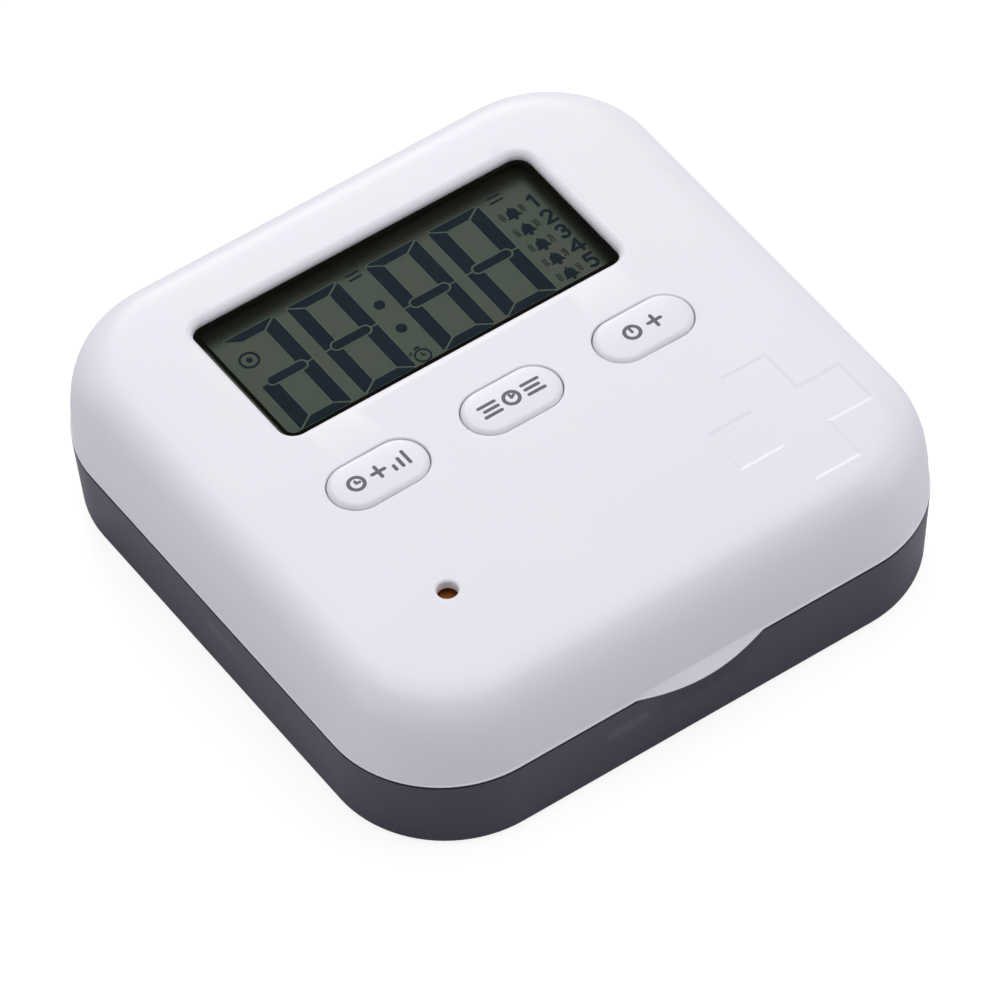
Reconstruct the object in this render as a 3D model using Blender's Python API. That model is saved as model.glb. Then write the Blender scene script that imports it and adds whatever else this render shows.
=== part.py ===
"""Electronic pill box: a flat clamshell whose lid carries a timer and whose base holds four pill pockets.

Metres, +Z up. The origin is at the centre of the underside. The finger lip faces -Y and the hinge +Y.
"""

import math

import bmesh
import bpy
from mathutils import Matrix, Vector

# Outline of the closed box at the parting line, and the heights along it.
SIDE = 0.088
CORNER_RADIUS = 0.0165
PARTING_Z = 0.0119
PARTING_GAP = 0.0004
EDGE_EASE = 0.00025
CORNER_STEPS = 6
OVERRUN = 0.001

# Base shell.
BASE_WALL = 0.0016
BASE_FLOOR = 0.0015
BASE_TAPER = 0.0006
BASE_EDGE_RADIUS = 0.0010
POCKET_FILLET = 0.0020
BASE_DEPTH_SHARES = (0.1, 0.2, 0.32, 0.45)
FILLET_STEPS = 3

# Lid shell: upright sides, a soft shoulder and a slightly pillowed top.
LID_RISE = 0.0132
LID_CROWN = 0.0005
LID_SIDE_WALL = 0.0016
LID_TOP_WALL = 0.0012
SHOULDER_WIDTH = 0.0074
SHOULDER_POWER = 3.2
CORNER_SHRINK_SHARE = 0.6
SHOULDER_TURN_SHARES = (0.11, 0.28, 0.44, 0.58, 0.7, 0.81, 0.91, 1.0)
CEILING_TURN_SHARES = (0.28, 0.58, 0.81, 1.0)
CROWN_RING_SHARES = (0.72, 0.42, 0.14)
BOSS_ROOT = 0.0002

# Finger lip at the middle of the front edge, and the scoop in the base under it.
LIP_WIDTH = 0.0195
LIP_DROP = 0.0008
LIP_REACH = 0.0014
LIP_HEIGHT = 0.0010
LIP_RISE_SHARES = (0.4, 1.0)
LIP_ROUNDNESS = 1.1
LIP_STEPS = 5
LIP_STRAIGHT_SHARE = 0.8
SCOOP_DEPTH = 0.0007
SCOOP_HEIGHT = 0.0050
SCOOP_FOOT_SHARE = 0.7

# Hinge behind the back wall.
BARREL_RADIUS = 0.0023
BARREL_STANDOFF = 0.00025
LID_KNUCKLE_LENGTH = 0.034
BASE_KNUCKLE_LENGTH = 0.008
KNUCKLE_GAP = 0.0003
WEB_HEIGHT = 0.0045
WEB_TANGENT_SHARE = 0.8
PIN_RADIUS = 0.0010
PIN_CLEARANCE = 0.0001
PIN_CHAMFER = 0.0003
PIN_END_GAP = 0.0003
BARREL_STEPS = 24

# Cross divider that drops into guides on the base walls.
DIVIDER_THICKNESS = 0.0013
DIVIDER_FLOOR_GAP = 0.0002
DIVIDER_TOP_GAP = 0.0006
DIVIDER_WALL_GAP = 0.0003
DIVIDER_SIDE_GAP = 0.00015
GUIDE_THICKNESS = 0.0009
GUIDE_DEPTH = 0.0012
GUIDE_TOP_GAP = 0.0012
GUIDE_ROOT = 0.0006
LUG_LENGTH = 0.0026
LUG_HEIGHT = 0.0006
LUG_DROP = 0.0040

# Inner cover that closes the underside of the lid, with its screw posts and latch hooks.
COVER_THICKNESS = 0.0016
COVER_GAP = 0.0003
COVER_INSET = 0.0001
POST_RADIUS = 0.0026
POST_HEIGHT = 0.0022
POST_SEAT = 0.0010
POST_BOSS_GAP = 0.0003
HOOK_OFFSET = 0.011
HOOK_WIDTH = 0.007
HOOK_THICKNESS = 0.0010
HOOK_DROP = 0.0044
HOOK_WALL_GAP = 0.0003
BEAD_RADIUS = 0.0002
BEAD_RISE = 0.0005
GROOVE_DEPTH = 0.0003
GROOVE_RADIUS = 0.0007
GROOVE_STEPS = 12

# Battery bay for two AAA cells side by side, and its sliding door.
CELL_RADIUS = 0.0051
CELL_LENGTH = 0.0445
CELL_EDGE = 0.0004
CELL_NUB_RADIUS = 0.0019
CELL_NUB_LENGTH = 0.0008
CELL_PITCH = 0.0110
CELL_STEPS = 24
BAY_SETBACK_X = 0.00785
BAY_SETBACK_Y = 0.0069
BAY_SIDE_GAP = 0.0003
BAY_WALL = 0.0010
BAY_WALL_HEIGHT = 0.0062
BAY_CORNER_RADIUS = 0.0008
CONTACT_SPACE = 0.0026
CONTACT_THICKNESS = 0.0004
CONTACT_GAP = 0.0002
CONTACT_HALF_WIDTH = 0.0040
CONTACT_HALF_HEIGHT = 0.0029
SPRING_RADIUS = 0.0026
SPRING_TIP_RADIUS = 0.0018
SPRING_WIRE_RADIUS = 0.0002
SPRING_TURNS = 3.5
SPRING_STEPS = 9
DOOR_LEDGE_WIDTH = 0.0012
DOOR_LEDGE_THICKNESS = 0.0006
DOOR_GAP = 0.00015
DOOR_SIDE_GAP = 0.0002
DOOR_TRAVEL = 0.0020
DOOR_CELL_GAP = 0.0002
DOOR_CORNER_RADIUS = 0.0012
TAB_WIDTH = 0.0022
TAB_THICKNESS = 0.0008
TAB_END_GAP = 0.0003
TAB_REACH = 0.0010
TAB_GAP = 0.00015
TAB_WINDOW_GAP = 0.0003
GRIP_COUNT = 3
GRIP_LENGTH = 0.010
GRIP_WIDTH = 0.0006
GRIP_PITCH = 0.0016
GRIP_DEPTH = 0.0003
GRIP_INSET = 0.004

# Display: window in the lid, clear pane, glass, frame and rubber connectors.
WINDOW_HALF_X = 0.02605
WINDOW_DEPTH = 0.0234
WINDOW_SETBACK = 0.0127
WINDOW_RADIUS = 0.0022
PANE_FLANGE = 0.0016
PANE_FLANGE_THICKNESS = 0.0009
PANE_STEP = 0.0003
PANE_CEILING_GAP = 0.0001
PANE_SIDE_GAP = 0.0002
GLASS_MARGIN = 0.0010
GLASS_THICKNESS = 0.0018
GLASS_PANE_GAP = 0.0002
GLASS_RADIUS = 0.0004
REFLECTOR_MARGIN = 0.0034
REFLECTOR_THICKNESS = 0.0002
REFLECTOR_GAP = 0.0001
FRAME_WALL = 0.0010
FRAME_GLASS_GAP = 0.0002
FRAME_SHELF = 0.0030
CONNECTOR_HEIGHT = 0.0020
CONNECTOR_DEPTH = 0.0018
CONNECTOR_INSET = 0.0004
CONNECTOR_END_GAP = 0.0003
CONNECTOR_GAP = 0.0001

# Circuit board, its posts and what is soldered to it.
BOARD_THICKNESS = 0.0012
BOARD_FRAME_MARGIN = 0.00275
BOARD_KEY_MARGIN = 0.0089
BOARD_WINDOW_MARGIN = 0.0081
BOARD_RADIUS = 0.002
BOARD_POST_INSET = 0.0020
BOARD_POST_FRONT_INSET = 0.0021
BOARD_POST_BACK_INSET = 0.0050
BOARD_POST_RADIUS = 0.0018
BOARD_POST_GAP = 0.0002
SOLDER_GAP = 0.0001
CHIP_RADIUS = 0.0048
CHIP_HEIGHT = 0.0014
CHIP_OFFSET_X = -0.006
CHIP_OFFSET_Y = -0.0016
CHIP_STEPS = 4
CRYSTAL_RADIUS = 0.0010
CRYSTAL_LENGTH = 0.0060
CRYSTAL_EDGE = 0.0002
CRYSTAL_OFFSET_X = 0.0075
CRYSTAL_OFFSET_Y = -0.0016

# Keys on the lid and the tact switches under them.
KEY_PITCH = 0.0204
KEY_WINDOW_GAP = 0.0078
KEY_HALF_X = 0.0071
KEY_HALF_Y = 0.0039
KEY_GAP = 0.00025
KEY_PROUD = 0.0006
KEY_ROUND = 0.0006
KEY_TRAVEL = 0.0005
KEY_FLANGE = 0.0010
KEY_FLANGE_THICKNESS = 0.0007
KEY_FLANGE_GAP = 0.0001
KEY_POST_RADIUS = 0.0016
KEY_STEM_GAP = 0.0001
SWITCH_HALF = 0.0030
SWITCH_HEIGHT = 0.0026
SWITCH_RADIUS = 0.0005
STEM_RADIUS = 0.0017
STEM_CLEARANCE = 0.00015
STEM_DEPTH = 0.0004
STEM_RISE = 0.0011
STEM_BORE_SPARE = 0.0003

# Sound hole and the piezo sounder under it.
SOUND_SETBACK_X = 0.0198
SOUND_SETBACK_Y = 0.0196
SOUND_HOLE_RADIUS = 0.00138
SOUND_CHAMFER = 0.00037
SOUNDER_RADIUS = 0.0100
SOUNDER_THICKNESS = 0.00025
CERAMIC_RADIUS = 0.0070
CERAMIC_THICKNESS = 0.00025
GASKET_WIDTH = 0.0016
GASKET_THICKNESS = 0.0008
SOUNDER_GAP = 0.0001
SOUNDER_SIDE_GAP = 0.0003
SOUNDER_WALL = 0.0008
SOUNDER_WALL_HEIGHT = 0.0024
RETAINER_THICKNESS = 0.0008
RETAINER_WIDTH = 0.0018

# Shallow plus sunk in the lid.
PLUS_SETBACK = 0.0173
PLUS_HALF_LENGTH = 0.0102
PLUS_HALF_WIDTH = 0.0035
PLUS_DEPTH = 0.0002

# Screws.
COVER_SCREW_FRAME_GAP = 0.00365
COVER_SCREW_BAY_GAP = 0.0022
COVER_SCREW_SIDE_SETBACK = 0.0060
COVER_SCREW_CORNER_SETBACK_X = 0.0095
COVER_SCREW_CORNER_SETBACK_Y = 0.0110
COVER_SCREW_HEAD_RADIUS = 0.0019
COVER_SCREW_HEAD_HEIGHT = 0.0012
COVER_SCREW_RADIUS = 0.0010
COVER_SCREW_LENGTH = 0.0060
BOARD_SCREW_HEAD_RADIUS = 0.0016
BOARD_SCREW_HEAD_HEIGHT = 0.0009
BOARD_SCREW_RADIUS = 0.0008
BOARD_SCREW_LENGTH = 0.0044
SCREW_CLEARANCE = 0.0001
SCREW_HEAD_CLEARANCE = 0.0003
SCREW_SEAT_GAP = 0.0001
SCREW_POINT_SHARE = 0.15
SCREW_ROUND_SHARE = 0.3
RECESS_WIDTH_SHARE = 0.28
RECESS_LENGTH_SHARE = 1.3
RECESS_DEPTH_SHARE = 0.45
BORE_SPARE = 0.0005
SCREW_STEPS = 16

# Leads, as routes from the piece they are soldered to, to the board.
LEAD_RADIUS = 0.0004
LEAD_STEPS = 5
BATTERY_PLUS_ROUTE = (
    (0.0348, -0.0175, 0.0219), (0.0344, -0.0132, 0.0219), (0.0330, -0.0095, 0.0206),
    (0.0303, -0.0070, 0.0193))
BATTERY_MINUS_ROUTE = (
    (0.0350, -0.0290, 0.0219), (0.0372, -0.0240, 0.0220), (0.0370, -0.0170, 0.0220),
    (0.0349, -0.0108, 0.0218), (0.0335, -0.0050, 0.0204), (0.0303, -0.0028, 0.0193))
SOUNDER_PLUS_ROUTE = (
    (-0.0210, -0.0210, 0.02165), (-0.0186, -0.0172, 0.0206), (-0.0150, -0.0118, 0.0202),
    (-0.0125, -0.0085, 0.0193))
SOUNDER_MINUS_ROUTE = (
    (-0.0204, -0.0178, 0.0223), (-0.0203, -0.0173, 0.0208), (-0.0172, -0.0118, 0.0202),
    (-0.0148, -0.0085, 0.0193))

# Battery bay, display and board, each as wide as what it holds.
CELL_SHIFT = CONTACT_SPACE - CONTACT_THICKNESS - 2 * CONTACT_GAP
BAY_HALF_X = CELL_LENGTH / 2 + CONTACT_SPACE
BAY_HALF_Y = CELL_PITCH / 2 + CELL_RADIUS + BAY_SIDE_GAP
DOOR_HALF_X = BAY_HALF_X + DOOR_LEDGE_WIDTH
DOOR_HALF_Y = BAY_HALF_Y + DOOR_LEDGE_WIDTH
SOUNDER_REACH = SOUNDER_RADIUS + SOUNDER_SIDE_GAP + SOUNDER_WALL
WINDOW_HALF_Y = WINDOW_DEPTH / 2
GLASS_HALF_X = WINDOW_HALF_X + GLASS_MARGIN
GLASS_HALF_Y = WINDOW_HALF_Y + GLASS_MARGIN + CONNECTOR_DEPTH
FRAME_HALF_X = GLASS_HALF_X + FRAME_GLASS_GAP + FRAME_WALL
FRAME_HALF_Y = GLASS_HALF_Y + FRAME_GLASS_GAP + FRAME_WALL
BOARD_HALF_X = FRAME_HALF_X + BOARD_FRAME_MARGIN
KEY_ROW_DEPTH = KEY_WINDOW_GAP + KEY_HALF_Y
BOARD_DEPTH = BOARD_KEY_MARGIN + KEY_ROW_DEPTH + WINDOW_DEPTH + BOARD_WINDOW_MARGIN

# Heights, from the underside to the top.
BASE_TOP_Z = PARTING_Z - PARTING_GAP / 2
LID_BOTTOM_Z = PARTING_Z + PARTING_GAP / 2
COVER_BOTTOM_Z = LID_BOTTOM_Z + COVER_INSET
COVER_TOP_Z = COVER_BOTTOM_Z + COVER_THICKNESS
POST_TOP_Z = COVER_TOP_Z + POST_HEIGHT
BOSS_BOTTOM_Z = POST_TOP_Z + POST_BOSS_GAP
COVER_SCREW_SEAT_Z = POST_TOP_Z - POST_SEAT
HOOK_BOTTOM_Z = PARTING_Z - HOOK_DROP
BEAD_Z = HOOK_BOTTOM_Z + BEAD_RISE
DOOR_RECESS_Z = COVER_TOP_Z - DOOR_LEDGE_THICKNESS
DOOR_TOP_Z = DOOR_RECESS_Z - DOOR_GAP
CELL_Z = DOOR_TOP_Z + DOOR_CELL_GAP + CELL_RADIUS
BAY_TOP_Z = COVER_TOP_Z + BAY_WALL_HEIGHT
SHOULDER_Z = PARTING_Z + LID_RISE
CEILING_Z = SHOULDER_Z - LID_TOP_WALL
PANE_TOP_Z = CEILING_Z + PANE_STEP
PANE_FLANGE_Z = CEILING_Z - PANE_CEILING_GAP
PANE_BOTTOM_Z = PANE_FLANGE_Z - PANE_FLANGE_THICKNESS
GLASS_TOP_Z = PANE_BOTTOM_Z - GLASS_PANE_GAP
GLASS_BOTTOM_Z = GLASS_TOP_Z - GLASS_THICKNESS
BOARD_TOP_Z = GLASS_BOTTOM_Z - CONNECTOR_HEIGHT - 2 * CONNECTOR_GAP
BOARD_BOTTOM_Z = BOARD_TOP_Z - BOARD_THICKNESS
KEY_FLANGE_Z = CEILING_Z - KEY_FLANGE_GAP
KEY_BOTTOM_Z = KEY_FLANGE_Z - KEY_FLANGE_THICKNESS
SWITCH_BOTTOM_Z = BOARD_TOP_Z + SOLDER_GAP
SWITCH_TOP_Z = SWITCH_BOTTOM_Z + SWITCH_HEIGHT
STEM_TOP_Z = SWITCH_TOP_Z + STEM_RISE
SOUNDER_TOP_Z = CEILING_Z - GASKET_THICKNESS - 2 * SOUNDER_GAP
SOUNDER_BOTTOM_Z = SOUNDER_TOP_Z - SOUNDER_THICKNESS

# Places in plan, set back from the sides that they lie near.
HALF = SIDE / 2
FLAT_HALF = HALF - SHOULDER_WIDTH
FLAT_RADIUS = CORNER_RADIUS - CORNER_SHRINK_SHARE * SHOULDER_WIDTH
LID_INNER_HALF = HALF - LID_SIDE_WALL
HINGE_Y = HALF + BARREL_STANDOFF + BARREL_RADIUS
HINGE_AT = (0, HINGE_Y, PARTING_Z)
HINGE_HALF_LENGTH = LID_KNUCKLE_LENGTH / 2 + KNUCKLE_GAP + BASE_KNUCKLE_LENGTH
COVER_HALF = LID_INNER_HALF - COVER_GAP
COVER_RADIUS = CORNER_RADIUS - LID_SIDE_WALL - COVER_GAP
BAY_CENTRE_X = HALF - BAY_SETBACK_X - BAY_WALL - BAY_HALF_X
BAY_CENTRE_Y = BAY_SETBACK_Y + BAY_WALL + BAY_HALF_Y - HALF
BAY_BACK_Y = BAY_CENTRE_Y + BAY_HALF_Y + BAY_WALL
CELL_BACK_Y = BAY_CENTRE_Y + CELL_PITCH / 2
CELL_FRONT_Y = BAY_CENTRE_Y - CELL_PITCH / 2
CONTACT_LEFT_X = BAY_CENTRE_X - BAY_HALF_X + CONTACT_GAP
CONTACT_RIGHT_X = BAY_CENTRE_X + BAY_HALF_X - CONTACT_GAP - CONTACT_THICKNESS
WINDOW_Y = HALF - WINDOW_SETBACK - WINDOW_HALF_Y
KEY_Y = WINDOW_Y - WINDOW_HALF_Y - KEY_ROW_DEPTH
BOARD_FRONT_Y = KEY_Y - BOARD_KEY_MARGIN
BOARD_BACK_Y = BOARD_FRONT_Y + BOARD_DEPTH
SOUND_X = SOUND_SETBACK_X - HALF
SOUND_Y = SOUND_SETBACK_Y - HALF
PLUS_X = HALF - PLUS_SETBACK
PLUS_Y = PLUS_SETBACK - HALF
COVER_SCREW_X = FRAME_HALF_X + COVER_SCREW_FRAME_GAP + POST_RADIUS
COVER_SCREW_Y = HALF - COVER_SCREW_CORNER_SETBACK_Y
COVER_SCREW_PLACES = {
    "cover_screw_back_left": (-COVER_SCREW_X, COVER_SCREW_Y),
    "cover_screw_back_right": (COVER_SCREW_X, COVER_SCREW_Y),
    "cover_screw_front_left": (COVER_SCREW_CORNER_SETBACK_X - HALF, -COVER_SCREW_Y),
    "cover_screw_right": (HALF - COVER_SCREW_SIDE_SETBACK, BAY_BACK_Y + COVER_SCREW_BAY_GAP + POST_RADIUS),
}
BOARD_POST_FRONT_X = BOARD_HALF_X - BOARD_POST_FRONT_INSET
BOARD_POST_BACK_X = BOARD_HALF_X - BOARD_POST_BACK_INSET
BOARD_SCREW_PLACES = {
    "board_screw_front_left": (-BOARD_POST_FRONT_X, BOARD_FRONT_Y + BOARD_POST_INSET),
    "board_screw_front_right": (BOARD_POST_FRONT_X, BOARD_FRONT_Y + BOARD_POST_INSET),
    "board_screw_back_left": (-BOARD_POST_BACK_X, BOARD_BACK_Y - BOARD_POST_INSET),
    "board_screw_back_right": (BOARD_POST_BACK_X, BOARD_BACK_Y - BOARD_POST_INSET),
}
KEY_PLACES = {"hour_key": -KEY_PITCH, "set_key": 0, "minute_key": KEY_PITCH}
CORNER_SIGNS = ((1, -1), (1, 1), (-1, 1), (-1, -1))
FULL_TURN = 2 * math.pi

# Looks: colour, roughness and metallic value.
LID_PLASTIC = ((0.79, 0.79, 0.84, 1), 0.38, 0.0)
COVER_PLASTIC = ((0.72, 0.72, 0.77, 1), 0.5, 0.0)
SMOKY_PLASTIC = ((0.06, 0.055, 0.08, 1), 0.32, 0.0)
SWITCH_PLASTIC = ((0.03, 0.03, 0.03, 1), 0.5, 0.0)
STEM_PLASTIC = ((0.55, 0.08, 0.05, 1), 0.5, 0.0)
CLEAR_PLASTIC = ((0.85, 0.88, 0.86, 1), 0.05, 0.0)
DISPLAY_GLASS = ((0.14, 0.16, 0.10, 1), 0.15, 0.0)
FOIL = ((0.55, 0.57, 0.50, 1), 0.35, 0.8)
BLACK_RUBBER = ((0.02, 0.02, 0.02, 1), 0.7, 0.0)
FOAM = ((0.10, 0.10, 0.10, 1), 0.9, 0.0)
BOARD_LAMINATE = ((0.03, 0.16, 0.06, 1), 0.45, 0.0)
RESIN = ((0.01, 0.01, 0.01, 1), 0.3, 0.0)
STEEL = ((0.60, 0.60, 0.62, 1), 0.3, 1.0)
BRASS = ((0.70, 0.45, 0.16, 1), 0.35, 1.0)
CERAMIC = ((0.75, 0.72, 0.66, 1), 0.5, 0.0)
CELL_JACKET = ((0.10, 0.22, 0.30, 1), 0.35, 0.3)
RED_SLEEVE = ((0.50, 0.03, 0.03, 1), 0.45, 0.0)
BLACK_SLEEVE = ((0.02, 0.02, 0.02, 1), 0.45, 0.0)


# Objects, materials and the Booleans between them.
def clear_scene():
    for old in list(bpy.data.objects):
        bpy.data.objects.remove(old, do_unlink=True)


def finish(obj, look):
    """Gives an object its own material."""
    colour, roughness, metallic = look
    material = bpy.data.materials.new(obj.name + "_finish")
    material.use_nodes = True
    shader = material.node_tree.nodes["Principled BSDF"]
    shader.inputs["Base Color"].default_value = colour
    shader.inputs["Roughness"].default_value = roughness
    shader.inputs["Metallic"].default_value = metallic
    obj.data.materials.append(material)


def world_place(obj):
    """Where an object's origin lies. No object here has a turned parent."""
    at = Vector((0, 0, 0))
    while obj is not None:
        at += obj.location
        obj = obj.parent
    return at


def add_object(name, data, at, parent):
    obj = bpy.data.objects.new(name, data)
    bpy.context.scene.collection.objects.link(obj)
    obj.parent = parent
    obj.location = Vector(at) - world_place(parent)
    return obj


def add_axis(name, at, parent=None):
    """An empty on a joint's axis, which carries the pieces that move with it."""
    return add_object(name, None, at, parent)


def face_outwards(bm):
    """Turns the faces of each separate body in a bmesh outwards."""
    bmesh.ops.recalc_face_normals(bm, faces=bm.faces[:])
    bm.normal_update()
    left = set(bm.faces)
    while left:
        body = [left.pop()]
        for face in body:
            near = {other for edge in face.edges for other in edge.link_faces if other in left}
            left -= near
            body += near
        volume = sum(face.calc_center_median().dot(face.normal) * face.calc_area() for face in body)
        if volume < 0:
            bmesh.ops.reverse_faces(bm, faces=body)


def add_piece(name, bm, look, at=(0, 0, 0), parent=None):
    """Turns a bmesh, drawn about the place at, into a named object with its own material."""
    face_outwards(bm)
    mesh = bpy.data.meshes.new(name)
    bm.to_mesh(mesh)
    bm.free()
    mesh.shade_smooth()
    mesh.set_sharp_from_angle(angle=math.radians(35))
    obj = add_object(name, mesh, at, parent)
    if look:
        finish(obj, look)
    return obj


def change_by(owner, name, bm, operation):
    """Joins a hidden solid, drawn in the world's frame, to its owner, or cuts it from the owner."""
    helper = add_piece(name, bm, None)
    helper.hide_render = True
    helper.display_type = "WIRE"
    modifier = owner.modifiers.new(name, "BOOLEAN")
    modifier.operation = operation
    modifier.solver = "EXACT"
    modifier.object = helper
    return helper


def join_to(owner, name, bm):
    return change_by(owner, name, bm, "UNION")


def cut_from(owner, name, bm):
    return change_by(owner, name, bm, "DIFFERENCE")


# Outlines and the solids drawn from them.
def arc(centre, radius, start, sweep, steps):
    turns = [start + sweep * k / steps for k in range(steps + 1)]
    return [(centre[0] + radius * math.cos(t), centre[1] + radius * math.sin(t)) for t in turns]


def circle(radius, centre=(0, 0), steps=SCREW_STEPS):
    return arc(centre, radius, 0, FULL_TURN, steps)[:-1]


def rounded_rectangle(half_x, half_y, radius, centre=(0, 0), steps=CORNER_STEPS):
    """Outline of a rectangle with round corners, anticlockwise from the front right one."""
    points = []
    for corner, (sx, sy) in enumerate(CORNER_SIGNS):
        middle = (centre[0] + sx * (half_x - radius), centre[1] + sy * (half_y - radius))
        points += arc(middle, radius, FULL_TURN / 4 * (corner - 1), FULL_TURN / 4, steps)
    return points


def add_extrusion(bm, points, move):
    """Extrudes a flat outline of points by a vector."""
    face = bm.faces.new([bm.verts.new(point) for point in points])
    made = bmesh.ops.extrude_face_region(bm, geom=[face], use_keep_orig=True)["geom"]
    moved = [item for item in made if isinstance(item, bmesh.types.BMVert)]
    bmesh.ops.translate(bm, verts=moved, vec=move)


def add_prism(bm, outline, low, high):
    add_extrusion(bm, [(x, y, low) for x, y in outline], (0, 0, high - low))


def add_box(bm, low, high):
    outline = ((low[0], low[1]), (high[0], low[1]), (high[0], high[1]), (low[0], high[1]))
    add_prism(bm, outline, low[2], high[2])


def add_bar(bm, side_view, low_x, high_x):
    """Extrudes a side view, given as (y, z) points, along X."""
    add_extrusion(bm, [(low_x, y, z) for y, z in side_view], (high_x - low_x, 0, 0))


def add_turned(bm, profile, centre=(0, 0), steps=SCREW_STEPS):
    """Spins a profile of (radius, height) points about an upright axis. A ring's profile is closed."""
    verts = [bm.verts.new((centre[0] + radius, centre[1], height)) for radius, height in profile]
    pairs = list(zip(verts, verts[1:] + verts[:1]))
    if min(radius for radius, height in profile) == 0:
        pairs = pairs[:-1]
    edges = [bm.edges.new(pair) for pair in pairs]
    bmesh.ops.spin(bm, geom=verts + edges, cent=(centre[0], centre[1], 0), axis=(0, 0, 1),
                   dvec=(0, 0, 0), angle=FULL_TURN, steps=steps, use_merge=True, use_duplicate=False)
    merge(bm)


def merge(bm):
    bmesh.ops.remove_doubles(bm, verts=bm.verts[:], dist=PIN_CLEARANCE / 100)


def add_skin(bm, rings, closed=False):
    """Extrudes the first ring's outline from ring to ring, with flat end caps or joined up into a tube."""
    verts = [bm.verts.new(point) for point in rings[0]]
    edges = [bm.edges.new(pair) for pair in zip(verts, verts[1:] + verts[:1])]
    if not closed:
        bm.faces.new(verts)
    for ring in rings[1:] + rings[:1] if closed else rings[1:]:
        made = set(bmesh.ops.extrude_edge_only(bm, edges=edges)["geom"])
        verts = [next(edge.other_vert(vert) for edge in vert.link_edges if edge.other_vert(vert) in made)
                 for vert in verts]
        edges = [bm.edges.get(pair) for pair in zip(verts, verts[1:] + verts[:1])]
        for vert, point in zip(verts, ring):
            vert.co = point
    if closed:
        merge(bm)
    else:
        bm.faces.new(verts)


def add_steps(bm, levels, closed=False):
    """A stepped solid from (outline, height) levels whose outlines have equally many points."""
    add_skin(bm, [[(x, y, z) for x, y in outline] for outline, z in levels], closed)
    merge(bm)


# The body's levels.
def body_ring(half, radius, z):
    """One level of the body: a rounded square with extra points across the finger lip."""
    straight = half - radius
    reach = min(LIP_WIDTH / 2, LIP_STRAIGHT_SHARE * straight)
    points = [(reach * k / LIP_STEPS, -half) for k in range(-LIP_STEPS, LIP_STEPS + 1)]
    points += rounded_rectangle(half, half, radius)
    return [Vector((x, y, z)) for x, y in points]


def bulge(x, half_width):
    """How far the finger lip has come at x: 1 at its middle and 0 from its ends on."""
    return max(0.0, 1 - (x / half_width) ** 2) ** LIP_ROUNDNESS


def lipped(ring, share):
    """The ring with a share of the finger lip's reach and drop on its front side."""
    front = min(point.y for point in ring)
    for point in ring:
        if point.y == front:
            point.y -= LIP_REACH * share * bulge(point.x, LIP_WIDTH / 2)
            point.z -= LIP_DROP * share * bulge(point.x, LIP_WIDTH / 2)
    return ring


def scooped(ring, depth):
    """The ring with the shallow scoop under the finger lip, which narrows and fades downwards."""
    down = min(1.0, depth / SCOOP_HEIGHT)
    half_width = LIP_WIDTH / 2 * (1 - (1 - SCOOP_FOOT_SHARE) * down)
    front = min(point.y for point in ring)
    for point in ring:
        if point.y == front:
            share = bulge(point.x, half_width)
            point.y += SCOOP_DEPTH * share * math.sin(math.pi / 3 * (1 + 2 * down))
            point.z -= LIP_DROP * share * (1 - down) ** 2
    return ring


def base_half(z):
    """Half the base's width at a height: it narrows evenly towards the underside."""
    return HALF - BASE_TAPER * (PARTING_Z - z) / PARTING_Z


def fillet_rings(half_inset, corner_radius, low_z, fillet, upwards):
    """The levels of a round edge between a flat face at low_z and an upright wall."""
    rings = []
    steps = range(FILLET_STEPS, -1, -1) if upwards else range(FILLET_STEPS + 1)
    for step in steps:
        turn = FULL_TURN / 4 * step / FILLET_STEPS
        inset = fillet * (1 - math.cos(turn))
        z = low_z + fillet * (1 - math.sin(turn))
        rings.append(body_ring(base_half(z) - half_inset - inset, corner_radius - inset, z))
    return rings


def base_inner_rings():
    """The base's inside, from the floor up to the rim."""
    radius = CORNER_RADIUS - BASE_WALL
    rings = fillet_rings(BASE_WALL, radius, BASE_FLOOR, POCKET_FILLET, True)
    rings.append(body_ring(base_half(BASE_TOP_Z) - BASE_WALL, radius, BASE_TOP_Z))
    return rings


def base_outer_rings():
    """The base's outside, from the rim down to the underside."""
    rings = []
    for inset, depth in ((EDGE_EASE, 0), (0, EDGE_EASE)):
        z = BASE_TOP_Z - depth
        rings.append(scooped(body_ring(base_half(z) - inset, CORNER_RADIUS - inset, z), depth))
    for share in BASE_DEPTH_SHARES:
        depth = share * BASE_TOP_Z
        z = BASE_TOP_Z - depth
        rings.append(scooped(body_ring(base_half(z), CORNER_RADIUS, z), depth))
    return rings + fillet_rings(0, CORNER_RADIUS, 0, BASE_EDGE_RADIUS, False)


def shoulder_ring(half, radius, width, rise, turn_share):
    """A level of a soft shoulder: a superellipse from the upright side to the flat top."""
    turn = FULL_TURN / 4 * turn_share
    inset = width * (1 - max(0.0, math.cos(turn)) ** (2 / SHOULDER_POWER))
    height = rise * math.sin(turn) ** (2 / SHOULDER_POWER)
    return body_ring(half - inset, radius - CORNER_SHRINK_SHARE * inset, PARTING_Z + height)


def lid_inner_rings():
    """The lid's inside, from the ceiling down to the rim."""
    radius = CORNER_RADIUS - LID_SIDE_WALL
    width = SHOULDER_WIDTH - LID_TOP_WALL
    rise = LID_RISE - LID_TOP_WALL
    rings = [shoulder_ring(LID_INNER_HALF, radius, width, rise, share)
             for share in reversed(CEILING_TURN_SHARES)]
    return rings + [body_ring(LID_INNER_HALF, radius, LID_BOTTOM_Z)]


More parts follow.
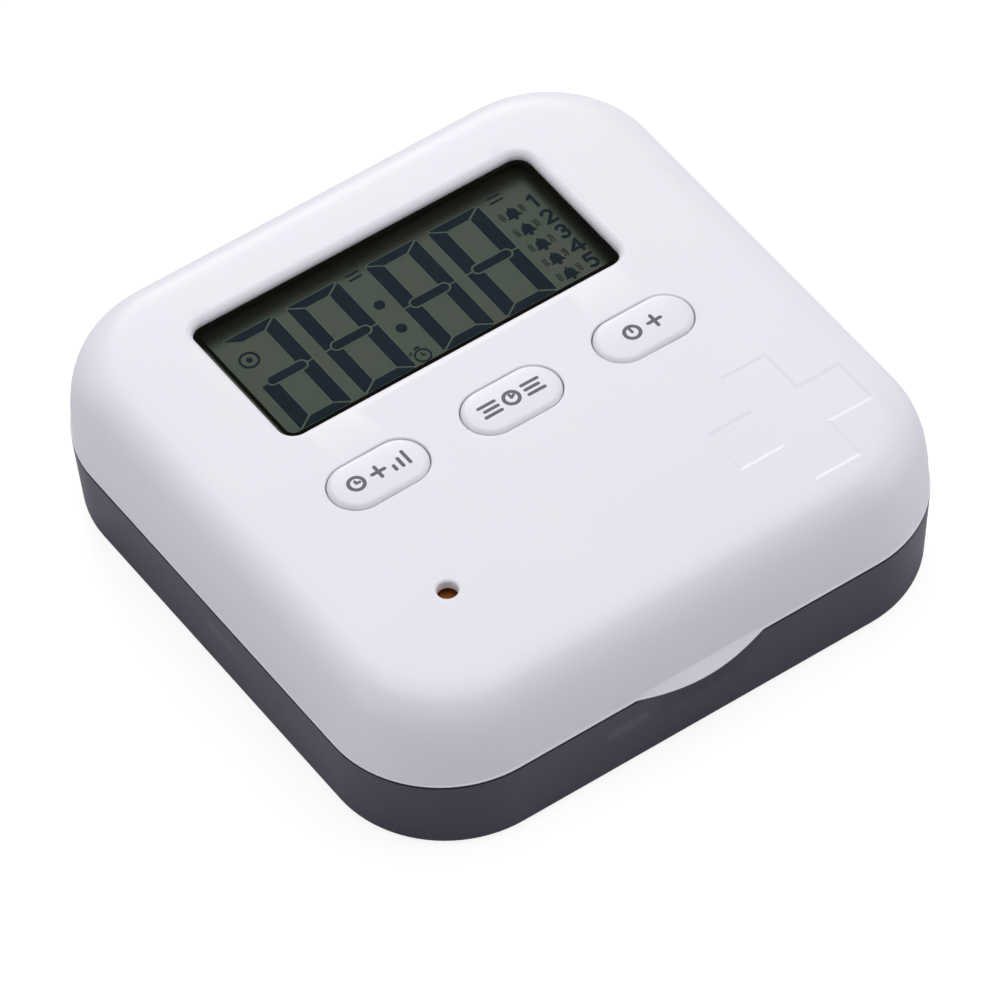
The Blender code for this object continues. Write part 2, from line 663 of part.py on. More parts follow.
def lid_outer_rings():
    """The lid's outside, from the rim up to the middle of the top."""
    rings = [lipped(body_ring(HALF - EDGE_EASE, CORNER_RADIUS - EDGE_EASE, LID_BOTTOM_Z), 1)]
    ease_z = LID_BOTTOM_Z + EDGE_EASE
    rings.append(lipped(body_ring(HALF, CORNER_RADIUS, ease_z), 1))
    for share in LIP_RISE_SHARES:
        rings.append(lipped(body_ring(HALF, CORNER_RADIUS, ease_z + LIP_HEIGHT * share), (1 - share) ** 2))
    for share in SHOULDER_TURN_SHARES:
        rings.append(shoulder_ring(HALF, CORNER_RADIUS, SHOULDER_WIDTH, LID_RISE, share))
    for share in CROWN_RING_SHARES:
        z = SHOULDER_Z + LID_CROWN * (1 - share ** 2)
        rings.append(body_ring(FLAT_HALF * share, FLAT_RADIUS * share, z))
    return rings


def top_z(x, y):
    """Height of the lid's outer face over a point of its top."""
    share = min(1.0, max(abs(x), abs(y)) / FLAT_HALF)
    return SHOULDER_Z + LID_CROWN * (1 - share ** 2)


# Hinge.
def join_knuckle(owner, name, low_x, high_x, up):
    """A hinge barrel and the web that ties it to its wall. up is 1 on the lid and -1 on the base."""
    barrel = bmesh.new()
    add_bar(barrel, circle(BARREL_RADIUS, (HINGE_Y, PARTING_Z), BARREL_STEPS), low_x, high_x)
    join_to(owner, name + "_barrel", barrel)
    wall_y = HALF - BASE_WALL / 2
    near = PARTING_Z + up * (PARTING_GAP / 2 + EDGE_EASE)
    far = PARTING_Z + up * WEB_HEIGHT
    tangent = BARREL_RADIUS * WEB_TANGENT_SHARE * math.sqrt(0.5)
    outer = (HINGE_Y + tangent, PARTING_Z + up * tangent)
    web = bmesh.new()
    add_bar(web, ((wall_y, near), (wall_y, far), (HALF + BARREL_STANDOFF, far), outer, (HINGE_Y, near)),
            low_x + OVERRUN / 2, high_x - OVERRUN / 2)
    join_to(owner, name + "_web", web)


def cut_pin_bore(owner, name):
    bore = bmesh.new()
    reach = HINGE_HALF_LENGTH + OVERRUN
    add_bar(bore, circle(PIN_RADIUS + PIN_CLEARANCE, (HINGE_Y, PARTING_Z), BARREL_STEPS), -reach, reach)
    cut_from(owner, name, bore)


def make_hinge_pin():
    half = HINGE_HALF_LENGTH - PIN_END_GAP
    tip = PIN_RADIUS - PIN_CHAMFER
    bm = bmesh.new()
    add_turned(bm, ((0, -half), (tip, -half), (PIN_RADIUS, PIN_CHAMFER - half),
                    (PIN_RADIUS, half - PIN_CHAMFER), (tip, half), (0, half)))
    pin = add_piece("hinge_pin", bm, STEEL, HINGE_AT)
    pin.rotation_euler.y = FULL_TURN / 4


# Base and divider.
def add_guides(bm, turn):
    """A pair of guides on the wall at +X, turned to another wall: upright ribs, each with a short lug."""
    root = BASE_FLOOR - GUIDE_ROOT
    top = BASE_TOP_Z - GUIDE_TOP_GAP
    lug_z = PARTING_Z - LUG_DROP
    near = DIVIDER_THICKNESS / 2 + DIVIDER_SIDE_GAP
    rib = near + GUIDE_THICKNESS
    tip = rib + LUG_LENGTH
    low, high = lug_z - LUG_HEIGHT / 2, lug_z + LUG_HEIGHT / 2
    side_view = ((near, root), (rib, root), (rib, low), (tip, low), (tip, high), (rib, high), (rib, top),
                 (near, top))
    inner = base_half(BASE_FLOOR) - BASE_WALL - GUIDE_DEPTH
    outer = base_half(lug_z) - BASE_WALL + GUIDE_ROOT
    others = set(bm.verts)
    for side in (-1, 1):
        add_bar(bm, [(side * y, z) for y, z in side_view], inner, outer)
    made = [vert for vert in bm.verts if vert not in others]
    bmesh.ops.rotate(bm, verts=made, cent=(0, 0, 0), matrix=Matrix.Rotation(turn, 3, "Z"))


def make_base_shell():
    bm = bmesh.new()
    add_skin(bm, base_inner_rings() + base_outer_rings())
    shell = add_piece("base_shell", bm, SMOKY_PLASTIC)
    start = LID_KNUCKLE_LENGTH / 2 + KNUCKLE_GAP
    join_knuckle(shell, "base_knuckle_left", -HINGE_HALF_LENGTH, -start, -1)
    join_knuckle(shell, "base_knuckle_right", start, HINGE_HALF_LENGTH, -1)
    guides = bmesh.new()
    for wall in range(4):
        add_guides(guides, FULL_TURN / 4 * wall)
    join_to(shell, "divider_guides", guides)
    cut_pin_bore(shell, "base_pin_bore")
    grooves = bmesh.new()
    groove_y = GROOVE_RADIUS - GROOVE_DEPTH - (base_half(BEAD_Z) - BASE_WALL)
    half_length = HOOK_WIDTH / 2 + HOOK_WALL_GAP
    for side in (-1, 1):
        middle = side * HOOK_OFFSET
        add_bar(grooves, circle(GROOVE_RADIUS, (groove_y, BEAD_Z), GROOVE_STEPS),
                middle - half_length, middle + half_length)
    cut_from(shell, "latch_grooves", grooves)


def make_compartment_divider():
    reach = base_half(BASE_FLOOR) - BASE_WALL - DIVIDER_WALL_GAP
    low = BASE_FLOOR + DIVIDER_FLOOR_GAP
    top = BASE_TOP_Z - DIVIDER_TOP_GAP
    side_view = ((-reach, top), (-reach, low + POCKET_FILLET), (POCKET_FILLET - reach, low),
                 (reach - POCKET_FILLET, low), (reach, low + POCKET_FILLET), (reach, top))
    half = DIVIDER_THICKNESS / 2
    long_arm = bmesh.new()
    add_bar(long_arm, side_view, -half, half)
    divider = add_piece("compartment_divider", long_arm, SMOKY_PLASTIC)
    cross_arm = bmesh.new()
    add_extrusion(cross_arm, [(x, -half, z) for x, z in side_view], (0, DIVIDER_THICKNESS, 0))
    join_to(divider, "cross_arm", cross_arm)


# Lid shell.
def plus_outline():
    arm, width = PLUS_HALF_LENGTH, PLUS_HALF_WIDTH
    quarter = ((arm, -width), (arm, width), (width, width))
    points = []
    for turn in range(4):
        for x, y in quarter:
            for _ in range(turn):
                x, y = -y, x
            points.append((PLUS_X + x, PLUS_Y + y))
    return points


def cut_plus(shell):
    """Sinks the plus to an even depth: its cutter stands on a copy of the lid's outside, lowered."""
    bm = bmesh.new()
    add_prism(bm, plus_outline(), CEILING_Z, SHOULDER_Z + LID_CROWN + OVERRUN)
    cutter = cut_from(shell, "sunk_plus", bm)
    lowered = bmesh.new()
    add_skin(lowered, lid_outer_rings())
    bmesh.ops.translate(lowered, verts=lowered.verts[:], vec=(0, 0, -PLUS_DEPTH))
    cut_from(cutter, "sunk_plus_floor", lowered)


def add_lid_openings(bm):
    high = SHOULDER_Z + LID_CROWN + OVERRUN
    low = CEILING_Z - OVERRUN
    add_prism(bm, rounded_rectangle(WINDOW_HALF_X, WINDOW_HALF_Y, WINDOW_RADIUS, (0, WINDOW_Y)), low, high)
    for x in KEY_PLACES.values():
        half_x, half_y = KEY_HALF_X + KEY_GAP, KEY_HALF_Y + KEY_GAP
        outline = rounded_rectangle(half_x, half_y, half_y, (x, KEY_Y))
        add_steps(bm, ((outline, low), (outline, high)))
    surface = top_z(SOUND_X, SOUND_Y)
    radius = SOUND_HOLE_RADIUS
    flare = radius + SOUND_CHAMFER
    add_turned(bm, ((0, low), (radius, low), (radius, surface - SOUND_CHAMFER), (flare, surface),
                    (flare, high), (0, high)), (SOUND_X, SOUND_Y), BARREL_STEPS)
    bore = COVER_SCREW_RADIUS + SCREW_CLEARANCE
    tip = COVER_SCREW_SEAT_Z + COVER_SCREW_LENGTH + BORE_SPARE
    for place in COVER_SCREW_PLACES.values():
        add_prism(bm, circle(bore, place), BOSS_BOTTOM_Z - OVERRUN, tip)
    bore = BOARD_SCREW_RADIUS + SCREW_CLEARANCE
    tip = BOARD_BOTTOM_Z + BOARD_SCREW_LENGTH + BORE_SPARE
    for place in BOARD_SCREW_PLACES.values():
        add_prism(bm, circle(bore, place), BOARD_TOP_Z - OVERRUN, tip)


def make_lid_shell(axis):
    bm = bmesh.new()
    add_skin(bm, lid_inner_rings() + lid_outer_rings())
    bmesh.ops.translate(bm, verts=bm.verts[:], vec=-Vector(HINGE_AT))
    shell = add_piece("lid_shell", bm, LID_PLASTIC, HINGE_AT, axis)
    join_knuckle(shell, "lid_knuckle", -LID_KNUCKLE_LENGTH / 2, LID_KNUCKLE_LENGTH / 2, 1)
    posts = bmesh.new()
    for place in COVER_SCREW_PLACES.values():
        add_prism(posts, circle(POST_RADIUS, place), BOSS_BOTTOM_Z, CEILING_Z + BOSS_ROOT)
    for place in BOARD_SCREW_PLACES.values():
        low = BOARD_TOP_Z + BOARD_POST_GAP
        add_prism(posts, circle(BOARD_POST_RADIUS, place), low, CEILING_Z + BOSS_ROOT)
    join_to(shell, "lid_posts", posts)
    ring = bmesh.new()
    inner = SOUNDER_REACH - SOUNDER_WALL
    low, high = CEILING_Z - SOUNDER_WALL_HEIGHT, CEILING_Z + BOSS_ROOT
    add_turned(ring, ((inner, low), (SOUNDER_REACH, low), (SOUNDER_REACH, high), (inner, high)),
               (SOUND_X, SOUND_Y), BARREL_STEPS)
    join_to(shell, "sounder_wall", ring)
    openings = bmesh.new()
    add_lid_openings(openings)
    cut_from(shell, "lid_openings", openings)
    cut_pin_bore(shell, "lid_pin_bore")
    cut_plus(shell)


# Inner cover and battery bay.
def cover_screw_bore(place):
    """The stepped hole for a cover screw: a deep seat for its head and a clear hole for its shank."""
    head = COVER_SCREW_HEAD_RADIUS + SCREW_HEAD_CLEARANCE
    shank = COVER_SCREW_RADIUS + SCREW_CLEARANCE
    return ((circle(head, place), COVER_BOTTOM_Z - OVERRUN), (circle(head, place), COVER_SCREW_SEAT_Z),
            (circle(shank, place), COVER_SCREW_SEAT_Z), (circle(shank, place), POST_TOP_Z + OVERRUN))


def make_lid_inner_cover(axis):
    bm = bmesh.new()
    add_prism(bm, rounded_rectangle(COVER_HALF, COVER_HALF, COVER_RADIUS), COVER_BOTTOM_Z, COVER_TOP_Z)
    bmesh.ops.translate(bm, verts=bm.verts[:], vec=-Vector(HINGE_AT))
    cover = add_piece("lid_inner_cover", bm, COVER_PLASTIC, HINGE_AT, axis)
    bay = (BAY_CENTRE_X, BAY_CENTRE_Y)
    root = (COVER_BOTTOM_Z + COVER_TOP_Z) / 2
    raised = bmesh.new()
    add_prism(raised, rounded_rectangle(BAY_HALF_X + BAY_WALL, BAY_HALF_Y + BAY_WALL,
                                        BAY_CORNER_RADIUS + BAY_WALL, bay), root, BAY_TOP_Z)
    for place in COVER_SCREW_PLACES.values():
        add_prism(raised, circle(POST_RADIUS, place), root, POST_TOP_Z)
    join_to(cover, "bay_block_and_posts", raised)
    hooks = bmesh.new()
    face_y = HOOK_WALL_GAP - (base_half(BEAD_Z) - BASE_WALL)
    for side in (-1, 1):
        low_x = side * HOOK_OFFSET - HOOK_WIDTH / 2
        add_bar(hooks, hook_side_view(face_y, root), low_x, low_x + HOOK_WIDTH)
    join_to(cover, "latch_hooks", hooks)
    cut = bmesh.new()
    recess = rounded_rectangle(DOOR_HALF_X + DOOR_SIDE_GAP + DOOR_TRAVEL / 2, DOOR_HALF_Y + DOOR_SIDE_GAP,
                               DOOR_CORNER_RADIUS, (BAY_CENTRE_X - DOOR_TRAVEL / 2, BAY_CENTRE_Y))
    opening = rounded_rectangle(BAY_HALF_X, BAY_HALF_Y, BAY_CORNER_RADIUS, bay)
    add_steps(cut, ((recess, COVER_BOTTOM_Z - OVERRUN), (recess, DOOR_RECESS_Z), (opening, DOOR_RECESS_Z),
                    (opening, BAY_TOP_Z + OVERRUN)))
    for place in COVER_SCREW_PLACES.values():
        add_steps(cut, cover_screw_bore(place))
    cut_from(cover, "bay_and_screw_holes", cut)
    window = bmesh.new()
    half = TAB_WIDTH / 2 + TAB_WINDOW_GAP
    wall_x = BAY_CENTRE_X + BAY_HALF_X
    add_box(window, (wall_x - OVERRUN, BAY_CENTRE_Y - half, COVER_TOP_Z),
            (wall_x + BAY_WALL + OVERRUN, BAY_CENTRE_Y + half, tab_top_z() + TAB_WINDOW_GAP))
    cut_from(cover, "tab_window", window)


def hook_side_view(face_y, root):
    """Side view of a latch hook: a flat tongue with a small round bead near its tip."""
    bead = arc((face_y, BEAD_Z), BEAD_RADIUS, FULL_TURN / 4, FULL_TURN / 2, 6)
    return [(face_y, root)] + bead + [(face_y, HOOK_BOTTOM_Z), (face_y + HOOK_THICKNESS, HOOK_BOTTOM_Z),
                                      (face_y + HOOK_THICKNESS, root)]


def tab_top_z():
    return COVER_TOP_Z + TAB_GAP + TAB_THICKNESS


def make_battery_door(axis):
    """The door slides towards -X until its tab leaves the ledge of the bay."""
    at = (BAY_CENTRE_X, BAY_CENTRE_Y, COVER_BOTTOM_Z)
    bm = bmesh.new()
    add_prism(bm, rounded_rectangle(DOOR_HALF_X, DOOR_HALF_Y, DOOR_CORNER_RADIUS), 0,
              DOOR_TOP_Z - COVER_BOTTOM_Z)
    door = add_piece("battery_door", bm, COVER_PLASTIC, at, axis)
    stem_x = BAY_CENTRE_X + BAY_HALF_X - TAB_END_GAP
    tip_x = stem_x + TAB_END_GAP + TAB_REACH
    hook_z = COVER_TOP_Z + TAB_GAP
    root = (COVER_BOTTOM_Z + DOOR_TOP_Z) / 2
    low_y = BAY_CENTRE_Y - TAB_WIDTH / 2
    side_view = ((stem_x - TAB_THICKNESS, root), (stem_x, root), (stem_x, hook_z), (tip_x, hook_z),
                 (tip_x, tab_top_z()), (stem_x - TAB_THICKNESS, tab_top_z()))
    tab = bmesh.new()
    add_extrusion(tab, [(x, low_y, z) for x, z in side_view], (0, TAB_WIDTH, 0))
    join_to(door, "door_tab", tab)
    grips = bmesh.new()
    for number in range(GRIP_COUNT):
        x = BAY_CENTRE_X + DOOR_HALF_X - GRIP_INSET - GRIP_PITCH * number
        add_box(grips, (x - GRIP_WIDTH / 2, BAY_CENTRE_Y - GRIP_LENGTH / 2, COVER_BOTTOM_Z - OVERRUN),
                (x + GRIP_WIDTH / 2, BAY_CENTRE_Y + GRIP_LENGTH / 2, COVER_BOTTOM_Z + GRIP_DEPTH))
    cut_from(door, "door_grips", grips)


def make_battery_cell(name, y, direction, axis):
    """An AAA cell lying along X, pushed against the plate at its raised end."""
    length, edge = CELL_LENGTH, CELL_EDGE
    body = length - CELL_NUB_LENGTH
    profile = ((0, 0), (CELL_RADIUS - edge, 0), (CELL_RADIUS, edge), (CELL_RADIUS, body - edge),
               (CELL_RADIUS - edge, body), (CELL_NUB_RADIUS, body), (CELL_NUB_RADIUS, length), (0, length))
    bm = bmesh.new()
    add_turned(bm, [(radius, height - length / 2) for radius, height in profile], steps=CELL_STEPS)
    at = (BAY_CENTRE_X + direction * CELL_SHIFT, y, CELL_Z)
    cell = add_piece(name, bm, CELL_JACKET, at, axis)
    cell.rotation_euler.y = FULL_TURN / 4 * direction


def make_contact(name, x, low_y, high_y, axis):
    bm = bmesh.new()
    middle_y = (low_y + high_y) / 2
    half_y = (high_y - low_y) / 2
    add_box(bm, (0, -half_y, -CONTACT_HALF_HEIGHT), (CONTACT_THICKNESS, half_y, CONTACT_HALF_HEIGHT))
    add_piece(name, bm, STEEL, (x, middle_y, CELL_Z), axis)


def make_spring(name, plate_x, y, direction, axis):
    """A conical battery spring, wound from its plate towards the flat end of a cell."""
    gap = CONTACT_GAP + SPRING_WIRE_RADIUS
    start = plate_x + direction * gap
    reach = CONTACT_SPACE + CELL_SHIFT - CONTACT_GAP - CONTACT_THICKNESS - 2 * gap
    count = round(SPRING_TURNS * SPRING_STEPS)
    curve = bpy.data.curves.new(name, "CURVE")
    curve.dimensions = "3D"
    curve.bevel_depth = SPRING_WIRE_RADIUS
    curve.bevel_resolution = 1
    curve.use_fill_caps = True
    line = curve.splines.new("POLY")
    line.points.add(count)
    for number, point in enumerate(line.points):
        share = number / count
        radius = SPRING_RADIUS + (SPRING_TIP_RADIUS - SPRING_RADIUS) * share
        turn = FULL_TURN * number / SPRING_STEPS
        point.co = (direction * reach * share, radius * math.cos(turn), radius * math.sin(turn), 1)
    spring = add_object(name, curve, (start, y, CELL_Z), axis)
    finish(spring, STEEL)


# Display.
def make_display(axis):
    centre = (0, WINDOW_Y)
    pane = bmesh.new()
    flange = rounded_rectangle(WINDOW_HALF_X + PANE_FLANGE, WINDOW_HALF_Y + PANE_FLANGE, WINDOW_RADIUS)
    raised = rounded_rectangle(WINDOW_HALF_X - PANE_SIDE_GAP, WINDOW_HALF_Y - PANE_SIDE_GAP,
                               WINDOW_RADIUS - PANE_SIDE_GAP)
    height = PANE_FLANGE_THICKNESS
    add_steps(pane, ((flange, 0), (flange, height), (raised, height), (raised, PANE_TOP_Z - PANE_BOTTOM_Z)))
    add_piece("display_window", pane, CLEAR_PLASTIC, (*centre, PANE_BOTTOM_Z), axis)
    glass = bmesh.new()
    add_prism(glass, rounded_rectangle(GLASS_HALF_X, GLASS_HALF_Y, GLASS_RADIUS, steps=2), 0, GLASS_THICKNESS)
    add_piece("lcd_glass", glass, DISPLAY_GLASS, (*centre, GLASS_BOTTOM_Z), axis)
    foil = bmesh.new()
    add_prism(foil, rounded_rectangle(GLASS_HALF_X - REFLECTOR_MARGIN, GLASS_HALF_Y - REFLECTOR_MARGIN,
                                      GLASS_RADIUS, steps=2), 0, REFLECTOR_THICKNESS)
    add_piece("lcd_reflector", foil, FOIL,
              (*centre, GLASS_BOTTOM_Z - REFLECTOR_GAP - REFLECTOR_THICKNESS), axis)
    make_lcd_frame(centre, axis)
    for name, side in (("lcd_connector_front", -1), ("lcd_connector_back", 1)):
        rubber = bmesh.new()
        half_x = GLASS_HALF_X - FRAME_SHELF - CONNECTOR_END_GAP
        low_z = BOARD_TOP_Z + CONNECTOR_GAP
        add_box(rubber, (-half_x, -CONNECTOR_DEPTH / 2, 0),
                (half_x, CONNECTOR_DEPTH / 2, GLASS_BOTTOM_Z - CONNECTOR_GAP - low_z))
        y = WINDOW_Y + side * (GLASS_HALF_Y - CONNECTOR_INSET - CONNECTOR_DEPTH / 2)
        add_piece(name, rubber, BLACK_RUBBER, (0, y, low_z), axis)


def make_lcd_frame(centre, axis):
    """The frame that holds the glass: a wall round it and a shelf under its two ends."""
    pocket_x, pocket_y = FRAME_HALF_X - FRAME_WALL, FRAME_HALF_Y - FRAME_WALL
    radius = GLASS_RADIUS
    outer = rounded_rectangle(FRAME_HALF_X, FRAME_HALF_Y, radius + FRAME_WALL, steps=2)
    pocket = rounded_rectangle(pocket_x, pocket_y, radius, steps=2)
    through = rounded_rectangle(GLASS_HALF_X - FRAME_SHELF, pocket_y - radius, radius, steps=2)
    low = BOARD_TOP_Z + CONNECTOR_GAP
    shelf = GLASS_BOTTOM_Z - FRAME_GLASS_GAP - low
    top = GLASS_TOP_Z - FRAME_GLASS_GAP - low
    bm = bmesh.new()
    add_steps(bm, ((outer, 0), (outer, top), (pocket, top), (pocket, shelf), (through, shelf), (through, 0)),
              closed=True)
    add_piece("lcd_frame", bm, COVER_PLASTIC, (*centre, low), axis)


# Circuit board.
def make_circuit_board(axis):
    middle_y = (BOARD_FRONT_Y + BOARD_BACK_Y) / 2
    half_y = BOARD_DEPTH / 2
    bm = bmesh.new()
    add_prism(bm, rounded_rectangle(BOARD_HALF_X, half_y, BOARD_RADIUS, steps=3), 0, BOARD_THICKNESS)
    board = add_piece("circuit_board", bm, BOARD_LAMINATE, (0, middle_y, BOARD_BOTTOM_Z), axis)
    holes = bmesh.new()
    for place in BOARD_SCREW_PLACES.values():
        add_prism(holes, circle(BOARD_SCREW_RADIUS + SCREW_CLEARANCE, place), BOARD_BOTTOM_Z - OVERRUN,
                  BOARD_TOP_Z + OVERRUN)
    cut_from(board, "board_holes", holes)
    chip = bmesh.new()
    dome = [(CHIP_RADIUS * math.cos(turn), -CHIP_HEIGHT * math.sin(turn))
            for turn in (FULL_TURN / 4 * k / CHIP_STEPS for k in range(CHIP_STEPS))]
    add_turned(chip, [(0, 0)] + dome + [(0, -CHIP_HEIGHT)])
    add_piece("controller_chip", chip, RESIN,
              (CHIP_OFFSET_X, WINDOW_Y + CHIP_OFFSET_Y, BOARD_BOTTOM_Z - SOLDER_GAP), axis)
    can = bmesh.new()
    half, radius, edge = CRYSTAL_LENGTH / 2, CRYSTAL_RADIUS, CRYSTAL_EDGE
    add_turned(can, ((0, -half), (radius, -half), (radius, half - edge), (radius - edge, half), (0, half)))
    crystal = add_piece("quartz_crystal", can, STEEL,
                        (CRYSTAL_OFFSET_X, WINDOW_Y + CRYSTAL_OFFSET_Y,
                         BOARD_BOTTOM_Z - SOLDER_GAP - CRYSTAL_RADIUS), axis)
    crystal.rotation_euler.x = FULL_TURN / 4


def make_key(name, x, lid_axis):
    """A key cap with its flange and post, and the switch and stem under it."""
    axis = add_axis(name + "_axis", (x, KEY_Y, STEM_TOP_Z), lid_axis)
    top = top_z(x, KEY_Y) + KEY_PROUD
    post = rounded_rectangle(KEY_POST_RADIUS, KEY_POST_RADIUS, KEY_POST_RADIUS)
    flange_y = KEY_HALF_Y + KEY_FLANGE
    flange = rounded_rectangle(KEY_HALF_X + KEY_FLANGE, flange_y, flange_y)
    cap = rounded_rectangle(KEY_HALF_X, KEY_HALF_Y, KEY_HALF_Y)
    levels = [(post, STEM_TOP_Z + KEY_STEM_GAP), (post, KEY_BOTTOM_Z), (flange, KEY_BOTTOM_Z),
              (flange, KEY_FLANGE_Z), (cap, KEY_FLANGE_Z)]
    for step in range(FILLET_STEPS + 1):
        turn = FULL_TURN / 4 * step / FILLET_STEPS
        inset = KEY_ROUND * (1 - math.cos(turn))
        half_y = KEY_HALF_Y - inset
        levels.append((rounded_rectangle(KEY_HALF_X - inset, half_y, half_y),
                       top - KEY_ROUND * (1 - math.sin(turn))))
    bm = bmesh.new()
    add_steps(bm, [(outline, z - STEM_TOP_Z) for outline, z in levels])
    add_piece(name, bm, LID_PLASTIC, (x, KEY_Y, STEM_TOP_Z), axis)
    stem = bmesh.new()
    add_prism(stem, circle(STEM_RADIUS), -STEM_RISE - STEM_DEPTH, 0)
    add_piece(name + "_switch_stem", stem, STEM_PLASTIC, (x, KEY_Y, STEM_TOP_Z), axis)
    bore_radius = STEM_RADIUS + STEM_CLEARANCE
    bore = rounded_rectangle(bore_radius, bore_radius, bore_radius)
    bore_floor = SWITCH_HEIGHT - STEM_DEPTH - KEY_TRAVEL - STEM_BORE_SPARE
    box = rounded_rectangle(SWITCH_HALF, SWITCH_HALF, SWITCH_RADIUS)
    body = bmesh.new()
    add_steps(body, ((bore, bore_floor), (bore, SWITCH_HEIGHT), (box, SWITCH_HEIGHT), (box, 0)))
    add_piece(name + "_switch", body, SWITCH_PLASTIC, (x, KEY_Y, SWITCH_BOTTOM_Z), lid_axis)


# Sounder.
def make_sounder(axis):
    def turned_piece(name, profile, low_z, look):
        bm = bmesh.new()
        add_turned(bm, profile, steps=BARREL_STEPS)
        add_piece(name, bm, look, (SOUND_X, SOUND_Y, low_z), axis)

    def disc(radius, thickness):
        return (0, 0), (radius, 0), (radius, thickness), (0, thickness)

    def ring(width, thickness):
        inner = SOUNDER_RADIUS - width
        return (inner, 0), (SOUNDER_RADIUS, 0), (SOUNDER_RADIUS, thickness), (inner, thickness)

    turned_piece("sounder_gasket", ring(GASKET_WIDTH, GASKET_THICKNESS), SOUNDER_TOP_Z + SOUNDER_GAP, FOAM)
    turned_piece("sounder_disc", disc(SOUNDER_RADIUS, SOUNDER_THICKNESS), SOUNDER_BOTTOM_Z, BRASS)
    ceramic_z = SOUNDER_BOTTOM_Z - SOUNDER_GAP - CERAMIC_THICKNESS
    turned_piece("sounder_ceramic", disc(CERAMIC_RADIUS, CERAMIC_THICKNESS), ceramic_z, CERAMIC)
    retainer_z = SOUNDER_BOTTOM_Z - SOUNDER_GAP - RETAINER_THICKNESS
    turned_piece("sounder_retainer", ring(RETAINER_WIDTH, RETAINER_THICKNESS), retainer_z, COVER_PLASTIC)


# Screws and leads.
def make_screw(name, place, seat_z, head_radius, head_height, radius, length, axis):
    """A pan-head screw driven upwards, with a cross recess in its head."""
    low = -head_height
    crown = head_height * SCREW_ROUND_SHARE
    point = length * SCREW_POINT_SHARE
    bm = bmesh.new()
    add_turned(bm, ((0, low), (head_radius - crown, low), (head_radius, low + crown), (head_radius, 0),
                    (radius, 0), (radius, length - point), (0, length)))
    top_z_at = seat_z - SCREW_SEAT_GAP
    screw = add_piece(name, bm, STEEL, (*place, top_z_at), axis)
    half_width = head_radius * RECESS_WIDTH_SHARE / 2
    half_length = head_radius * RECESS_LENGTH_SHARE / 2
    depth = head_height * RECESS_DEPTH_SHARE
    cross = [(half_length, -half_width), (half_length, half_width), (half_width, half_width)]
    outline = []
    for turn in range(4):
        for x, y in cross:
            for _ in range(turn):
                x, y = -y, x
            outline.append((place[0] + x, place[1] + y))
    recess = bmesh.new()
    add_prism(recess, outline, top_z_at + low - OVERRUN, top_z_at + low + depth)
    cut_from(screw, name + "_recess", recess)


def make_lead(name, route, look, axis):
    """An insulated wire along a smooth line through its route."""
    curve = bpy.data.curves.new(name, "CURVE")
    curve.dimensions = "3D"
    curve.bevel_depth = LEAD_RADIUS
    curve.bevel_resolution = 1
    curve.resolution_u = LEAD_STEPS
    curve.use_fill_caps = True
    line = curve.splines.new("BEZIER")
    line.bezier_points.add(len(route) - 1)
    start = Vector(route[0])
    for point, place in zip(line.bezier_points, route):
        point.co = Vector(place) - start
        point.handle_left_type = point.handle_right_type = "AUTO"
    lead = add_object(name, curve, start, axis)
    finish(lead, look)


def main():
    clear_scene()
    make_base_shell()
    make_compartment_divider()
    make_hinge_pin()
    lid = add_axis("lid_axis", HINGE_AT)
    make_lid_shell(lid)
    make_lid_inner_cover(lid)
    door = add_axis("battery_door_axis", (BAY_CENTRE_X, BAY_CENTRE_Y, COVER_BOTTOM_Z), lid)
    make_battery_door(door)
    make_battery_cell("battery_cell_back", CELL_BACK_Y, 1, lid)
    make_battery_cell("battery_cell_front", CELL_FRONT_Y, -1, lid)
    half = CONTACT_HALF_WIDTH
    make_contact("battery_contact_bridge", CONTACT_LEFT_X, CELL_FRONT_Y - half, CELL_BACK_Y + half, lid)
    make_contact("battery_contact_plus", CONTACT_RIGHT_X, CELL_BACK_Y - half, CELL_BACK_Y + half, lid)
    make_contact("battery_contact_minus", CONTACT_RIGHT_X, CELL_FRONT_Y - half, CELL_FRONT_Y + half, lid)
    make_spring("battery_spring_back", CONTACT_LEFT_X + CONTACT_THICKNESS, CELL_BACK_Y, 1, lid)
    make_spring("battery_spring_front", CONTACT_RIGHT_X, CELL_FRONT_Y, -1, lid)
    make_display(lid)
    make_circuit_board(lid)
    for name, x in KEY_PLACES.items():
        make_key(name, x, lid)
    make_sounder(lid)
    for name, place in COVER_SCREW_PLACES.items():
        make_screw(name, place, COVER_SCREW_SEAT_Z, COVER_SCREW_HEAD_RADIUS, COVER_SCREW_HEAD_HEIGHT,
                   COVER_SCREW_RADIUS, COVER_SCREW_LENGTH, lid)
    for name, place in BOARD_SCREW_PLACES.items():
        make_screw(name, place, BOARD_BOTTOM_Z, BOARD_SCREW_HEAD_RADIUS, BOARD_SCREW_HEAD_HEIGHT,
                   BOARD_SCREW_RADIUS, BOARD_SCREW_LENGTH, lid)
    make_lead("battery_lead_plus", BATTERY_PLUS_ROUTE, RED_SLEEVE, lid)
    make_lead("battery_lead_minus", BATTERY_MINUS_ROUTE, BLACK_SLEEVE, lid)
    make_lead("sounder_lead_plus", SOUNDER_PLUS_ROUTE, RED_SLEEVE, lid)
    make_lead("sounder_lead_minus", SOUNDER_MINUS_ROUTE, BLACK_SLEEVE, lid)


main()
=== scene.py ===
"""Electronic pill box: the finished surfaces round the CAD model, with a camera, a pale floor and soft light.

Shapes are drawn in millimetres, +Z up, in the CAD model's frame, and go into the scene in metres.
"""

import math

import bmesh
import bpy
from mathutils import Matrix, Vector


